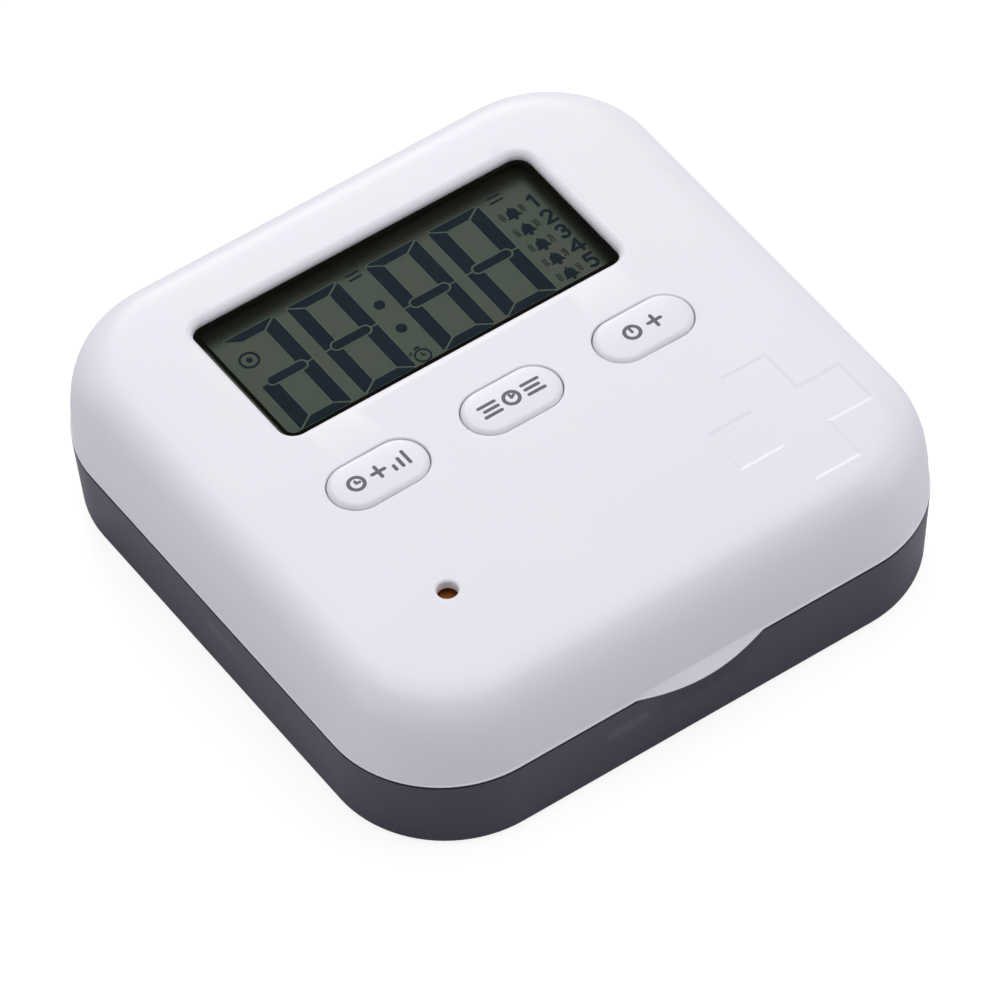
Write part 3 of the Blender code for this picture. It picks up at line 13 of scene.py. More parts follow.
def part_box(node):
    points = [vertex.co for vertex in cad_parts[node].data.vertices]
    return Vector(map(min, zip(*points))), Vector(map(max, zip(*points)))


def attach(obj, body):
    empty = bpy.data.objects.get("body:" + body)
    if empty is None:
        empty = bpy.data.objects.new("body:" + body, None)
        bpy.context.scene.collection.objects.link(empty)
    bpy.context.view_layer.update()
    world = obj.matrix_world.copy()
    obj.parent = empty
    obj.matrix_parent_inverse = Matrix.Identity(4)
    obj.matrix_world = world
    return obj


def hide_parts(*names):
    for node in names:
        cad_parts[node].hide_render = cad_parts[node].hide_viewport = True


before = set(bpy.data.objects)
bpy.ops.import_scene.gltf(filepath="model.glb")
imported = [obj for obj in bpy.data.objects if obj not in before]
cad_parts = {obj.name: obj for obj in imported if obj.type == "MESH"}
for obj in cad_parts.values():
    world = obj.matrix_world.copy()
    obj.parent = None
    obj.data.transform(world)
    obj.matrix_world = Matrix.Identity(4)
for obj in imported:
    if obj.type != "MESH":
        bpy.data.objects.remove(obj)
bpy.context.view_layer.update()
MM = 0.001
QUARTER = math.pi / 2


def box_mm(node):
    low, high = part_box(node)
    return low / MM, high / MM


def middle(node):
    low, high = box_mm(node)
    return (low + high) / 2


# Places that follow from the CAD model.
HALF = box_mm("lid_shell")[1].x
HINGE = middle("hinge_pin")
PARTING_Z = HINGE.z
SEAM_HALF = 0.2
LID_BOTTOM_Z = PARTING_Z + SEAM_HALF
BASE_TOP_Z = PARTING_Z - SEAM_HALF
WINDOW = middle("display_window")
GLASS_TOP_Z = box_mm("lcd_glass")[1].z
PANE_LOW, PANE_HIGH = box_mm("display_window")
SOUND = middle("sounder_disc")
KEYS = ("hour_key", "set_key", "minute_key")
COVER_SCREWS = [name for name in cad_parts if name.startswith("cover_screw")]
BOARD_SCREWS = [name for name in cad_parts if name.startswith("board_screw")]

# Body: a rounded square whose lid has a soft shoulder and a slightly pillowed top.
CORNER_RADIUS = 16.5
CORNER_STEPS = 22
RIM_ROUND = 0.1
EDGE_STEPS = 4
LID_RIM_PROFILE = ((0.1, 0.0), (0.03, 0.03), (0.0, 0.1), (0.0, 0.18), (0.02, 0.21), (0.2, 0.31))
LID_SETBACK = 0.2
LID_RISE = 13.2
LID_CROWN = 0.5
LID_SIDE_WALL = 1.6
LID_TOP_WALL = 1.2
SHOULDER_WIDTH = 7.4
SHOULDER_POWER = 3.2
SHOULDER_STEPS = 30
CEILING_STEPS = 10
CROWN_STEPS = 14
CORNER_SHRINK = 0.6
FLAT_HALF = HALF - SHOULDER_WIDTH
FLAT_RADIUS = CORNER_RADIUS - CORNER_SHRINK * SHOULDER_WIDTH
TOP_Z = PARTING_Z + LID_RISE
CEILING_Z = TOP_Z - LID_TOP_WALL
BASE_WALL = 1.6
BASE_FLOOR = 1.5
BASE_TAPER = 0.6
BASE_EDGE = 1.0
POCKET_FILLET = 2.0
FILLET_STEPS = 8

# Finger lip on the lid and the scoop under it.
LIP_HALF_WIDTH = 9.75
LIP_DROP = 0.8
LIP_REACH = 1.4
LIP_FACE_HEIGHT = 0.33
LIP_HEIGHT = 0.62
LIP_ROUNDNESS = 1.1
LIP_STEPS = 18
LIP_LEDGE_STEPS = 4
STRAIGHT_SHARE = 0.8
SCOOP_DEPTH = 0.7
SCOOP_HEIGHT = 5.0
SCOOP_FOOT = 0.7
SCOOP_BELOW = 0.5
SCOOP_STEPS = 8

# Hinge.
BARREL_RADIUS = 2.3
BARREL_STANDOFF = 0.25
BARREL_STEPS = 40
LID_KNUCKLE_LENGTH = 34.0
BASE_KNUCKLE_LENGTH = 8.0
KNUCKLE_GAP = 0.3
WEB_HEIGHT = 4.5
WEB_ROOT = 0.45
WEB_SETBACK = 0.5
WEB_TOUCH_SHARE = 0.8
PIN_BORE = 1.1
OVERRUN = 1.0

# Divider guides and latch grooves in the base.
DIVIDER_HALF = 0.65
DIVIDER_SIDE_GAP = 0.15
GUIDE_THICKNESS = 0.9
GUIDE_DEPTH = 1.2
GUIDE_TOP_GAP = 1.2
GUIDE_ROOT = 0.6
LUG_LENGTH = 2.6
LUG_HEIGHT = 0.6
LUG_DROP = 4.0
HOOK_OFFSET = 11.0
GROOVE_HALF_LENGTH = 3.8
GROOVE_RADIUS = 0.7
GROOVE_DEPTH = 0.3
GROOVE_DROP = 3.9
GROOVE_STEPS = 16

# Openings in the lid, with softly rounded rims.
WINDOW_HALF_X = 26.05
WINDOW_HALF_Y = 11.7
WINDOW_RADIUS = 2.2
WINDOW_RIM = 1.0
KEY_HALF_X = 7.1
KEY_HALF_Y = 3.9
KEY_OPENING_GAP = 0.11
KEY_RIM = 0.22
KEY_END_STEPS = 16
SOUND_RADIUS = 1.38
SOUND_RIM = 0.37
RIM_STEPS = 10
RIM_TURN = math.radians(80)
RIM_SPREAD_SHARE = 1.5
RIM_LIFT_SHARE = 0.1
PLUS_SETBACK = 17.3
PLUS_ARM = 10.2
PLUS_HALF_WIDTH = 3.5
PLUS_DEPTH = 0.12
PLUS_SIDE_STEPS = 4
PLUS_WALL = ((-0.27, -OVERRUN), (-0.27, -0.13), (0.27, 0.01), (0.27, OVERRUN))

# Posts and rings under the lid's ceiling.
POST_RADIUS = 2.6
POST_BOTTOM_Z = 16.3
SCREW_BORE = 1.1
BOARD_POST_RADIUS = 1.8
BOARD_POST_GAP = 0.2
BOARD_SCREW_BORE = 0.9
BORE_STEPS = 24
BORE_SPARE = 0.5
SOUNDER_WALL_RADIUS = 10.3
SOUNDER_WALL = 0.8
SOUNDER_WALL_HEIGHT = 2.4
ROOT = 0.2

# Keys.
KEY_ROUND = 0.8
KEY_DOME = 0.14
KEY_SINK = 0.2
KEY_FLANGE = 1.0
KEY_FLANGE_THICKNESS = 0.7
KEY_FLANGE_GAP = 0.1
KEY_FLANGE_Z = CEILING_Z - KEY_FLANGE_GAP
KEY_POST_RADIUS = 1.6

# Signs on the keys, round each key's middle: a clock's place, its hands' tips, and lines from (x, y) to
# (x, y), which make a plus and rising bars, or a list on each side.
MARK_HEIGHT = 0.025
MARK_SINK = MARK_HEIGHT / 3
MARK_STROKE = 0.5
HAND_STROKE = 0.4
CLOCK_RADIUS = 1.05
KEY_SIGNS = {
    "hour_key": (-3.3, ((0.5, 0), (0, 0.4)), (
        (2.1, -1.05, 2.1, -0.35), (3.15, -1.05, 3.15, 0.35), (4.2, -1.05, 4.2, 1.05),
        (-0.945, 0, 0.945, 0), (0, -0.945, 0, 0.945))),
    "set_key": (0, ((0, 0.6), (0.5, 0.3)), (
        (-2.1, -0.9, -4.5, -0.9), (-2.1, 0, -4.1, 0), (-2.1, 0.9, -4.5, 0.9),
        (2.1, -0.9, 4.5, -0.9), (2.1, 0, 4.1, 0), (2.1, 0.9, 4.5, 0.9))),
    "minute_key": (-1.7, ((0, 0.75),), ((0.755, 0, 2.645, 0), (1.7, -0.945, 1.7, 0.945))),
}

# Clear pane and the black border printed round it, which also puts black where the gap at the window's edges
# lies in shade.
PANE_GAP = 0.25
PANE_EDGE = 0.18
PANE_FLANGE_THICKNESS = 0.9
BORDER_WIDTH = 0.55
BORDER_THICKNESS = 0.02

# Display: four digits, a colon, five numbered bells and a few small signs.
INK_GAP = 0.015
INK_LOW_Z = GLASS_TOP_Z + INK_GAP
INK_THICKNESS = 0.02
# Strokes that cross end at slightly different heights, because tops in one plane would shade each other.
STROKE_LAYERS = 4
STROKE_LAYER = 0.001
DIGIT_LEFT_X = (-22.9, -13.05, -0.85, 8.87)
DIGIT_WIDTH = 8.18
DIGIT_LOW_Y = 9.95
DIGIT_HIGH_Y = 28.4
UPRIGHT_WIDTH = 2.35
CROSSBAR_WIDTH = 1.6
CORNER_CUT = 0.5
CAPSULE_INSET = 1.1
CAPSULE_RADIUS = 0.8
SEGMENT_GAP = 0.24
GAP_INSET = 0.02
COLON_PLACES = ((-2.9, 21.65), (-2.9, 16.7))
COLON_RADIUS = 0.75
COLON_STEPS = 24
BELL_X = 19.85
BELL_ROWS = (24.4, 21.05, 17.8, 14.7, 11.55)
NUMBER_X = 23.25
NUMBER_LIFT = 0.25
NUMBER_SCALE = 1.08
NUMBER_STROKE = 0.44
STOPWATCH = (-3.3, 11.25)
RING_SIGN = (-21.5, 23.8)
BAR_SIGNS = ((-2.75, 27.75), (19.4, 27.9))
STROKE_STEPS = 8
CURVE_STEPS = 12

# Angles between faces from which an edge stays sharp in the shading, in degrees.
PLAIN_SHARP = 30
LID_SHARP = 11
BASE_SHARP = 28
KEY_SHARP = 50
INNER_SHARP = 35

# Meshes: the angle up to which faces are one flat, the angle from which an edge is a corner, and how
# near two points merge.
FLAT_ANGLE = math.radians(1)
CORNER_ANGLE = math.radians(40)
MERGE = 0.001

# Values between which most of a noise lies.
NOISE_REACH = (0.3, 0.7)

# Painted light: paler bars in the base's front and left walls, in place of the light that the smoky wall
# would let through in front of a latch hook and a divider guide. Each gives the axis across the wall, the
# axis along it and their middle.
PAINTED_LIGHT_BARS = (("Y", "X", -HOOK_OFFSET), ("X", "Y", -1.5))
# How pale they are, and where this fades: into the wall, up and down, and towards their ends.
PAINTED_LIGHT_SHARE = 0.4
PAINTED_LIGHT_DEPTHS = (1.2, 0.8)
PAINTED_LIGHT_HEIGHTS = (1.4, 0.2)
PAINTED_LIGHT_END = 1.2

# A dry cell's bands, each from its share of the length to the next: colour, and white where bare metal shows.
CELL_BANDS = {
    "Base Color": ((0.0, "#b9b9bb"), (0.02, "#26404f"), (0.62, "#c9cdd0"), (0.66, "#5f8296"),
                   (0.95, "#b9b9bb")),
    "Metallic": ((0.0, "#ffffff"), (0.02, "#000000"), (0.95, "#ffffff")),
}

# Small pieces' finishes: colour, roughness, metallic, speckle in mm, and how much it varies the tone.
# No speckle is under 0.4 mm, because a finer one would not show.
SPECKLED_FINISHES = {
    # Ink pressed on by a pad: even and duller than the key under it.
    "grey_pad_printing_ink": ("#55555f", 0.55, 0.0, 0.4, 0.12),
    # Film with an aluminium coat: a soft, greenish mirror.
    "aluminised_film_rolled": ("#a9ada2", 0.3, 0.8, 2.0, 0.05),
    # Cast epoxy: near black and almost glossy.
    "black_epoxy_cast": ("#0c0c0d", 0.22, 0.0, 2.5, 0.12),
    # Foam cut by a die: dull, with dark open cells.
    "polyurethane_foam_die_cut": ("#2b2b2d", 0.95, 0.0, 0.5, 0.3),
    # Brass sheet as stamped: warm, with a dulled shine.
    "brass_sheet_stamped": ("#d08040", 0.45, 0.6, 0.6, 0.15),
    # Ceramic with a fired silver face: pale, half metal and half chalk.
    "silvered_ceramic_fired": ("#cfc9bd", 0.4, 0.3, 0.7, 0.08),
    # Extruded silicone rubber: black with a dusty bloom.
    "silicone_rubber_extruded": ("#1b1b1c", 0.75, 0.0, 0.6, 0.12),
    # Moulded nylon: black and satin.
    "black_nylon_moulded": ("#1d1d1e", 0.5, 0.0, 0.5, 0.12),
    # Moulded acetal: red and slightly waxy.
    "red_acetal_moulded": ("#b03a2c", 0.42, 0.0, 0.6, 0.12),
    # Extruded PVC sleeves: smooth and slightly glossy.
    "red_pvc_sleeve_extruded": ("#b02525", 0.45, 0.0, 1.5, 0.12),
    "black_pvc_sleeve_extruded": ("#19191a", 0.45, 0.0, 1.5, 0.12),
}

# Camera: fitted to the photograph, which is 1000 pixels square.
CAMERA_TARGET = Vector((-4.358, -6.629, 11.9))
CAMERA_DISTANCE = 1109.8
CAMERA_AZIMUTH = math.radians(-32.695)
CAMERA_ELEVATION = math.radians(49.21)
CAMERA_ROLL = math.radians(-3.056)
FOCAL_PIXELS = 8753.9
PHOTO_PIXELS = 1000
SENSOR_WIDTH = 36.0
CLIP_END = 20.0

# Floor, in millimetres, and lamps: place and disc size in metres, power in watts, colour.
FLOOR_HALF = 4000
FLOOR_DROP = 0.05
FLOOR_GLOW = 0.84
LAMP_TARGET = Vector((0, 0, 0.015))
LAMPS = {
    "overhead": ((0.2, 0.05, 1.2), 1.5, 6.8, "#ffffff"),
    "front_right_fill": ((0.95, -0.7, 0.5), 0.6, 2.2, "#ffffff"),
    "back_right": ((0.45, 1.0, 0.7), 0.5, 5.0, "#ffffff"),
    "left_fill": ((-1.15, 0.1, 0.45), 0.6, 1.9, "#fbfbff"),
}


# Outlines, as lists of (x, y).
def arc(centre, radius, start, sweep, steps):
    turns = [start + sweep * k / steps for k in range(steps + 1)]
    return [(centre[0] + radius * math.cos(t), centre[1] + radius * math.sin(t)) for t in turns]


def circle(radius, centre, steps=40):
    return arc(centre, radius, 0, math.tau, steps)[:-1]


def round_steps(radius, steps, turn=QUARTER):
    """Steps round a soft edge, from its side up: how far each lies inwards, and how far below the top."""
    turns = [turn * step / steps for step in range(steps + 1)]
    return [(radius * (1 - math.cos(t)), radius * (1 - math.sin(t))) for t in turns]


def rounded_rectangle(half_x, half_y, radius, centre=(0, 0), steps=12):
    """A rectangle with round corners, anticlockwise from the front right one."""
    points = []
    for corner, (sx, sy) in enumerate(((1, -1), (1, 1), (-1, 1), (-1, -1))):
        middle_of_arc = (centre[0] + sx * (half_x - radius), centre[1] + sy * (half_y - radius))
        points += arc(middle_of_arc, radius, QUARTER * (corner - 1), QUARTER, steps)
    return points


def stroke(start, end, width):
    """A straight stroke with round ends."""
    turn = math.atan2(end[1] - start[1], end[0] - start[0])
    return (arc(end, width / 2, turn - QUARTER, math.pi, STROKE_STEPS)
            + arc(start, width / 2, turn + QUARTER, math.pi, STROKE_STEPS))


def line_strokes(points, width):
    """Strokes that follow a line from point to point."""
    return [stroke(start, end, width) for start, end in zip(points, points[1:])]


def curved_stroke(centre, radius, start, sweep, width):
    outer = arc(centre, radius + width / 2, start, sweep, CURVE_STEPS)
    inner = arc(centre, radius - width / 2, start, sweep, CURVE_STEPS)
    return outer + inner[::-1]


def ring_strokes(at, radius, width):
    return [curved_stroke(at, radius, start, math.pi, width) for start in (0, math.pi)]


def window_outline(spread):
    """The window's outline, spread outwards, or drawn in where the spread is negative."""
    return rounded_rectangle(WINDOW_HALF_X + spread, WINDOW_HALF_Y + spread, WINDOW_RADIUS + spread, WINDOW)


def key_outline(spread, centre):
    half_y = KEY_HALF_Y + spread
    return rounded_rectangle(KEY_HALF_X + spread, half_y, half_y, centre, KEY_END_STEPS)


def plus_outline(spread):
    """The plus, with extra points along its sides that follow the pillowed top."""
    arm, width = PLUS_ARM + spread, PLUS_HALF_WIDTH + spread
    corners = []
    for turn in range(4):
        for point in ((arm, -width), (arm, width), (width, width)):
            corners.append(Matrix.Rotation(QUARTER * turn, 2) @ Vector(point))
    points = []
    for corner, after in zip(corners, corners[1:] + corners[:1]):
        for step in range(PLUS_SIDE_STEPS):
            at = corner.lerp(after, step / PLUS_SIDE_STEPS)
            points.append((HALF - PLUS_SETBACK + at.x, PLUS_SETBACK - HALF + at.y))
    return points


# Solids drawn with bmesh operators.
def extrude(bm, faces, way):
    made = bmesh.ops.extrude_face_region(bm, geom=faces, use_keep_orig=True)["geom"]
    moved = [item for item in made if isinstance(item, bmesh.types.BMVert)]
    bmesh.ops.translate(bm, verts=moved, vec=way)


def flat_face(bm, outline, z):
    face = bm.faces.new([bm.verts.new((x, y, z)) for x, y in outline])
    face.normal_update()
    return face


def inset_border(bm, face, width):
    """Draws a face's outline in evenly, and returns the faces of the border that this leaves."""
    return bmesh.ops.inset_individual(bm, faces=[face], thickness=width, use_even_offset=True)["faces"]


def add_prism(bm, outline, low, high, inset=0):
    """Extrudes an outline upwards. With an inset, its outline is first drawn in evenly."""
    face = flat_face(bm, outline, low)
    if inset:
        bmesh.ops.delete(bm, geom=inset_border(bm, face, inset), context="FACES")
    extrude(bm, [face], (0, 0, high - low))


def add_bar(bm, side_view, low_x, high_x):
    """Extrudes a side view, given as (y, z) points, along X."""
    face = bm.faces.new([bm.verts.new((low_x, y, z)) for y, z in side_view])
    extrude(bm, [face], (high_x - low_x, 0, 0))


def add_tube(bm, inner, outer, low, high, centre):
    """Spins a wall's section about an upright axis."""
    section = ((inner, low), (outer, low), (outer, high), (inner, high))
    verts = [bm.verts.new((centre[0] + radius, centre[1], height)) for radius, height in section]
    edges = [bm.edges.new(pair) for pair in zip(verts, verts[1:] + verts[:1])]
    bmesh.ops.spin(bm, geom=verts + edges, cent=(centre[0], centre[1], 0), axis=(0, 0, 1), dvec=(0, 0, 0),
                   angle=math.tau, steps=BARREL_STEPS, use_merge=True, use_duplicate=False)
    bmesh.ops.remove_doubles(bm, verts=bm.verts[:], dist=MERGE)


def add_skin(bm, rings):
    """Extrudes the first ring's outline from ring to ring, with a flat cap at each end."""
    verts = [bm.verts.new(point) for point in rings[0]]
    edges = [bm.edges.new(pair) for pair in zip(verts, verts[1:] + verts[:1])]
    bm.faces.new(verts)
    for ring in rings[1:]:
        made = set(bmesh.ops.extrude_edge_only(bm, edges=edges)["geom"])
        verts = [next(edge.other_vert(vert) for edge in vert.link_edges if edge.other_vert(vert) in made)
                 for vert in verts]
        edges = [bm.edges.get(pair) for pair in zip(verts, verts[1:] + verts[:1])]
        for vert, point in zip(verts, ring):
            vert.co = point
    bm.faces.new(verts)


def add_steps(bm, levels):
    """A skin over (outline, height) pairs."""
    add_skin(bm, [[(x, y, z) for x, y in outline] for outline, z in levels])
    bmesh.ops.remove_doubles(bm, verts=bm.verts[:], dist=MERGE)


def face_outwards(bm):
    """Turns the faces of each separate body outwards."""
    bmesh.ops.recalc_face_normals(bm, faces=bm.faces[:])
    bm.normal_update()
    left = set(bm.faces)
    while left:
        body = [left.pop()]
        for face in body:
            near = {other for edge in face.edges for other in edge.link_faces if other in left}
            left -= near
            body += near
        if sum(face.calc_center_median().dot(face.normal) * face.calc_area() for face in body) < 0:
            bmesh.ops.reverse_faces(bm, faces=body)


def mesh_in_mm(mesh):
    """A bmesh of a mesh in the scene, in millimetres."""
    bm = bmesh.new()
    bm.from_mesh(mesh)
    bmesh.ops.scale(bm, verts=bm.verts[:], vec=(1 / MM, 1 / MM, 1 / MM))
    return bm


def set_order(bm):
    """Orders points, edges and faces by place, because extruding leaves them in another order each run."""
    for number, vert in enumerate(sorted(bm.verts, key=lambda vert: vert.co[:])):
        vert.index = number
    bm.verts.sort()
    for items in (bm.edges, bm.faces):
        by_points = sorted(items, key=lambda item: sorted(vert.index for vert in item.verts))
        for number, item in enumerate(by_points):
            item.index = number
        items.sort()


def add_object(name, bm):
    """An object from a bmesh in millimetres, with its place in its mesh."""
    face_outwards(bm)
    set_order(bm)
    bmesh.ops.scale(bm, verts=bm.verts[:], vec=(MM, MM, MM))
    mesh = bpy.data.meshes.new(name)
    bm.to_mesh(mesh)
    bm.free()
    obj = bpy.data.objects.new(name, mesh)
    bpy.context.scene.collection.objects.link(obj)
    return obj


def change_by(owner, bm, operation):
    """Joins a solid to its owner, or cuts it from the owner, for good."""
    tool = add_object("tool", bm)
    modifier = owner.modifiers.new("change", "BOOLEAN")
    modifier.operation = operation
    modifier.solver = "EXACT"
    modifier.object = tool
    changed = owner.evaluated_get(bpy.context.evaluated_depsgraph_get())
    mesh = bpy.data.meshes.new_from_object(changed)
    owner.modifiers.clear()
    old = owner.data
    owner.data = mesh
    mesh.name = owner.name
    bpy.data.meshes.remove(old)
    bpy.data.meshes.remove(tool.data)


def finish_piece(obj, material, body, replaced=(), sharp=PLAIN_SHARP):
    """Smooth shading that keeps real edges, a material, and the body that the piece rides."""
    obj.data.materials.clear()
    obj.data.materials.append(material)
    obj.data.shade_smooth()
    obj.data.set_sharp_from_angle(angle=math.radians(sharp))
    shading = obj.modifiers.new("even_shading", "WEIGHTED_NORMAL")
    shading.keep_sharp = True
    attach(obj, body)
    if replaced:
        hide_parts(*replaced)


def add_softened(node, material, body, width, segments=2):
    """A copy of a CAD node whose edges are broken by a small round."""
    bm = mesh_in_mm(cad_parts[node].data)
    bmesh.ops.remove_doubles(bm, verts=bm.verts[:], dist=MERGE)
    bmesh.ops.dissolve_limit(bm, angle_limit=FLAT_ANGLE, verts=bm.verts[:], edges=bm.edges[:])
    corners = [edge for edge in bm.edges
               if len(edge.link_faces) == 2 and edge.calc_face_angle() > CORNER_ANGLE]
    bmesh.ops.bevel(bm, geom=corners, offset=width, offset_type="OFFSET", affect="EDGES", segments=segments,
                    profile=0.5, material=-1, clamp_overlap=True)
    finish_piece(add_object(node + "_finished", bm), material, body, (node,), INNER_SHARP)


# The body's levels.
def body_ring(half, radius, z):
    """One level of the body: a rounded square with extra points across the front, where the finger lip is."""
    reach = min(LIP_HALF_WIDTH, (half - radius) * STRAIGHT_SHARE)
    points = [(reach * k / LIP_STEPS, -half) for k in range(-LIP_STEPS, LIP_STEPS + 1)]
    points += rounded_rectangle(half, half, radius, steps=CORNER_STEPS)
    return [Vector((x, y, z)) for x, y in points]


def bulge(x, half_width):
    """How far the finger lip has come at x: 1 at its middle and 0 from its ends on."""
    return max(0.0, 1 - (x / half_width) ** 2) ** LIP_ROUNDNESS


def lipped(ring, share):
    """The ring with a share of the finger lip's reach and drop on its front side."""
    front = min(point.y for point in ring)
    for point in ring:
        if point.y == front:
            point.y -= LIP_REACH * share * bulge(point.x, LIP_HALF_WIDTH)
            point.z -= LIP_DROP * share * bulge(point.x, LIP_HALF_WIDTH)
    return ring


def scooped(ring, depth):
    """The ring with the shallow scoop under the finger lip, which narrows and fades downwards."""
    down = min(1.0, depth / SCOOP_HEIGHT)
    half_width = LIP_HALF_WIDTH * (1 - (1 - SCOOP_FOOT) * down)
    front = min(point.y for point in ring)
    for point in ring:
        if point.y == front:
            share = bulge(point.x, half_width)
            point.y += SCOOP_DEPTH * share * math.sin(math.pi / 3 * (1 + 2 * down))
            point.z -= LIP_DROP * share * (1 - down) ** 2
    return ring


def base_half(z):
    return HALF - BASE_TAPER * (PARTING_Z - z) / PARTING_Z


def fillet_rings(wall, corner_radius, low_z, fillet, upwards):
    """The levels of a round edge between a flat face at low_z and an upright wall."""
    levels = round_steps(fillet, FILLET_STEPS)
    rings = []
    for inset, lift in levels[::-1] if upwards else levels:
        z = low_z + lift
        rings.append(body_ring(base_half(z) - wall - inset, corner_radius - inset, z))
    return rings


def base_rings():
    """From the floor of the pockets up to the rim, over it and down to the underside."""
    rings = fillet_rings(BASE_WALL, CORNER_RADIUS - BASE_WALL, BASE_FLOOR, POCKET_FILLET, True)
    # The rim's round, up on the inside and down on the outside.
    for outwards, depth in round_steps(RIM_ROUND, EDGE_STEPS):
        inset = BASE_WALL - outwards
        z = BASE_TOP_Z - depth
        rings.append(body_ring(base_half(z) - inset, CORNER_RADIUS - inset, z))
    for depth, inset in round_steps(RIM_ROUND, EDGE_STEPS):
        z = BASE_TOP_Z - depth
        rings.append(scooped(body_ring(base_half(z) - inset, CORNER_RADIUS - inset, z), depth))
    for step in range(1, SCOOP_STEPS + 1):
        depth = RIM_ROUND + (SCOOP_HEIGHT + SCOOP_BELOW - RIM_ROUND) * step / SCOOP_STEPS
        z = BASE_TOP_Z - depth
        rings.append(scooped(body_ring(base_half(z), CORNER_RADIUS, z), depth))
    return rings + fillet_rings(0, CORNER_RADIUS, 0, BASE_EDGE, False)


def square_share(x, y):
    """Which of the top's nested rounded squares a point lies on: 0 at the middle, 1 at the shoulder."""
    a, b = sorted((abs(x) / FLAT_HALF, abs(y) / FLAT_HALF))
    straight = 1 - FLAT_RADIUS / FLAT_HALF
    if a <= straight * b:
        return b
    square = 2 * straight ** 2 - (1 - straight) ** 2
    half_sum = straight * (a + b)
    return (half_sum - math.sqrt(half_sum ** 2 - square * (a * a + b * b))) / square


def top_z(x, y):
    """Height of the lid's outer face over a point of its top."""
    share = square_share(x, y)
    beyond = max(0.0, share - 1) * FLAT_HALF / SHOULDER_WIDTH
    rise = LID_RISE * (1 - beyond ** SHOULDER_POWER) ** (1 / SHOULDER_POWER)
    return PARTING_Z + rise + LID_CROWN * (1 - share ** 2)


def shoulder_ring(half, radius, width, rise, turn_share, crown):
    """A level of the shoulder: a superellipse from the upright side to the top, where the crown goes on."""
    turn = QUARTER * turn_share
    inset = width * (1 - max(0.0, math.cos(turn)) ** (2 / SHOULDER_POWER))
    height = rise * math.sin(turn) ** (2 / SHOULDER_POWER)
    share = (half - inset) / (half - width)
    lift = crown * (1 - share ** 2) * height / rise
    return body_ring(half - inset, radius - CORNER_SHRINK * inset, PARTING_Z + height + lift)


def lid_outer_rings():
    """The lid's outside, from the rim up to the middle. The finger lip is a ledge under a crisp line."""
    rings = []
    for inset, height in LID_RIM_PROFILE:
        rings.append(lipped(body_ring(HALF - inset, CORNER_RADIUS - inset, LID_BOTTOM_Z + height), 1))
    half, radius = HALF - LID_SETBACK, CORNER_RADIUS - LID_SETBACK
    for step in range(LIP_LEDGE_STEPS + 1):
        share = step / LIP_LEDGE_STEPS
        z = LID_BOTTOM_Z + LIP_FACE_HEIGHT + (LIP_HEIGHT - LIP_FACE_HEIGHT) * share
        rings.append(lipped(body_ring(half, radius, z), 1 - share))
    width = SHOULDER_WIDTH - LID_SETBACK
    for step in range(1, SHOULDER_STEPS + 1):
        rings.append(shoulder_ring(half, radius, width, LID_RISE, step / SHOULDER_STEPS, LID_CROWN))
    for step in range(CROWN_STEPS - 1, 0, -1):
        share = step / CROWN_STEPS
        z = TOP_Z + LID_CROWN * (1 - share ** 2)
        rings.append(body_ring(FLAT_HALF * share, FLAT_RADIUS * share, z))
    return rings


def lid_inner_rings():
    """The lid's inside, from the ceiling down to the rim."""
    half, radius = HALF - LID_SIDE_WALL, CORNER_RADIUS - LID_SIDE_WALL
    width, rise = SHOULDER_WIDTH - LID_TOP_WALL, LID_RISE - LID_TOP_WALL
    rings = [shoulder_ring(half, radius, width, rise, step / CEILING_STEPS, 0)
             for step in range(CEILING_STEPS, 0, -1)]
    return rings + [body_ring(half, radius, LID_BOTTOM_Z)]


# Hinge, on both shells.
def join_knuckle(owner, low_x, high_x, up):
    """A hinge barrel and the web that ties it to its wall. up is 1 on the lid and -1 on the base."""
    barrel = bmesh.new()
    add_bar(barrel, circle(BARREL_RADIUS, (HINGE.y, PARTING_Z), BARREL_STEPS), low_x, high_x)
    change_by(owner, barrel, "UNION")
    near, far = PARTING_Z + up * WEB_ROOT, PARTING_Z + up * WEB_HEIGHT
    root_y = HALF - BASE_WALL / 2
    touch = BARREL_RADIUS * WEB_TOUCH_SHARE * math.sqrt(0.5)
    side_view = ((root_y, near), (root_y, far), (HALF + BARREL_STANDOFF, far),
                 (HINGE.y + touch, PARTING_Z + up * touch), (HINGE.y, near))
    web = bmesh.new()
    add_bar(web, side_view, low_x + WEB_SETBACK, high_x - WEB_SETBACK)
    change_by(owner, web, "UNION")


def cut_pin_bore(owner):
    bore = bmesh.new()
    outline = circle(PIN_BORE, (HINGE.y, PARTING_Z), BARREL_STEPS)
    add_bar(bore, outline, -LID_KNUCKLE_LENGTH, LID_KNUCKLE_LENGTH)
    change_by(owner, bore, "DIFFERENCE")


# Lid shell.
def add_lid_posts(shell):
    """The screws' posts and the sounder's round wall, rooted in the lid's ceiling."""
    posts = bmesh.new()
    top = CEILING_Z + ROOT
    for node in COVER_SCREWS:
        add_prism(posts, circle(POST_RADIUS, middle(node)), POST_BOTTOM_Z, top)
    board_post_low = box_mm("circuit_board")[1].z + BOARD_POST_GAP
    for node in BOARD_SCREWS:
        add_prism(posts, circle(BOARD_POST_RADIUS, middle(node)), board_post_low, top)
    change_by(shell, posts, "UNION")
    wall = bmesh.new()
    add_tube(wall, SOUNDER_WALL_RADIUS, SOUNDER_WALL_RADIUS + SOUNDER_WALL, CEILING_Z - SOUNDER_WALL_HEIGHT,
             top, SOUND)
    change_by(shell, wall, "UNION")


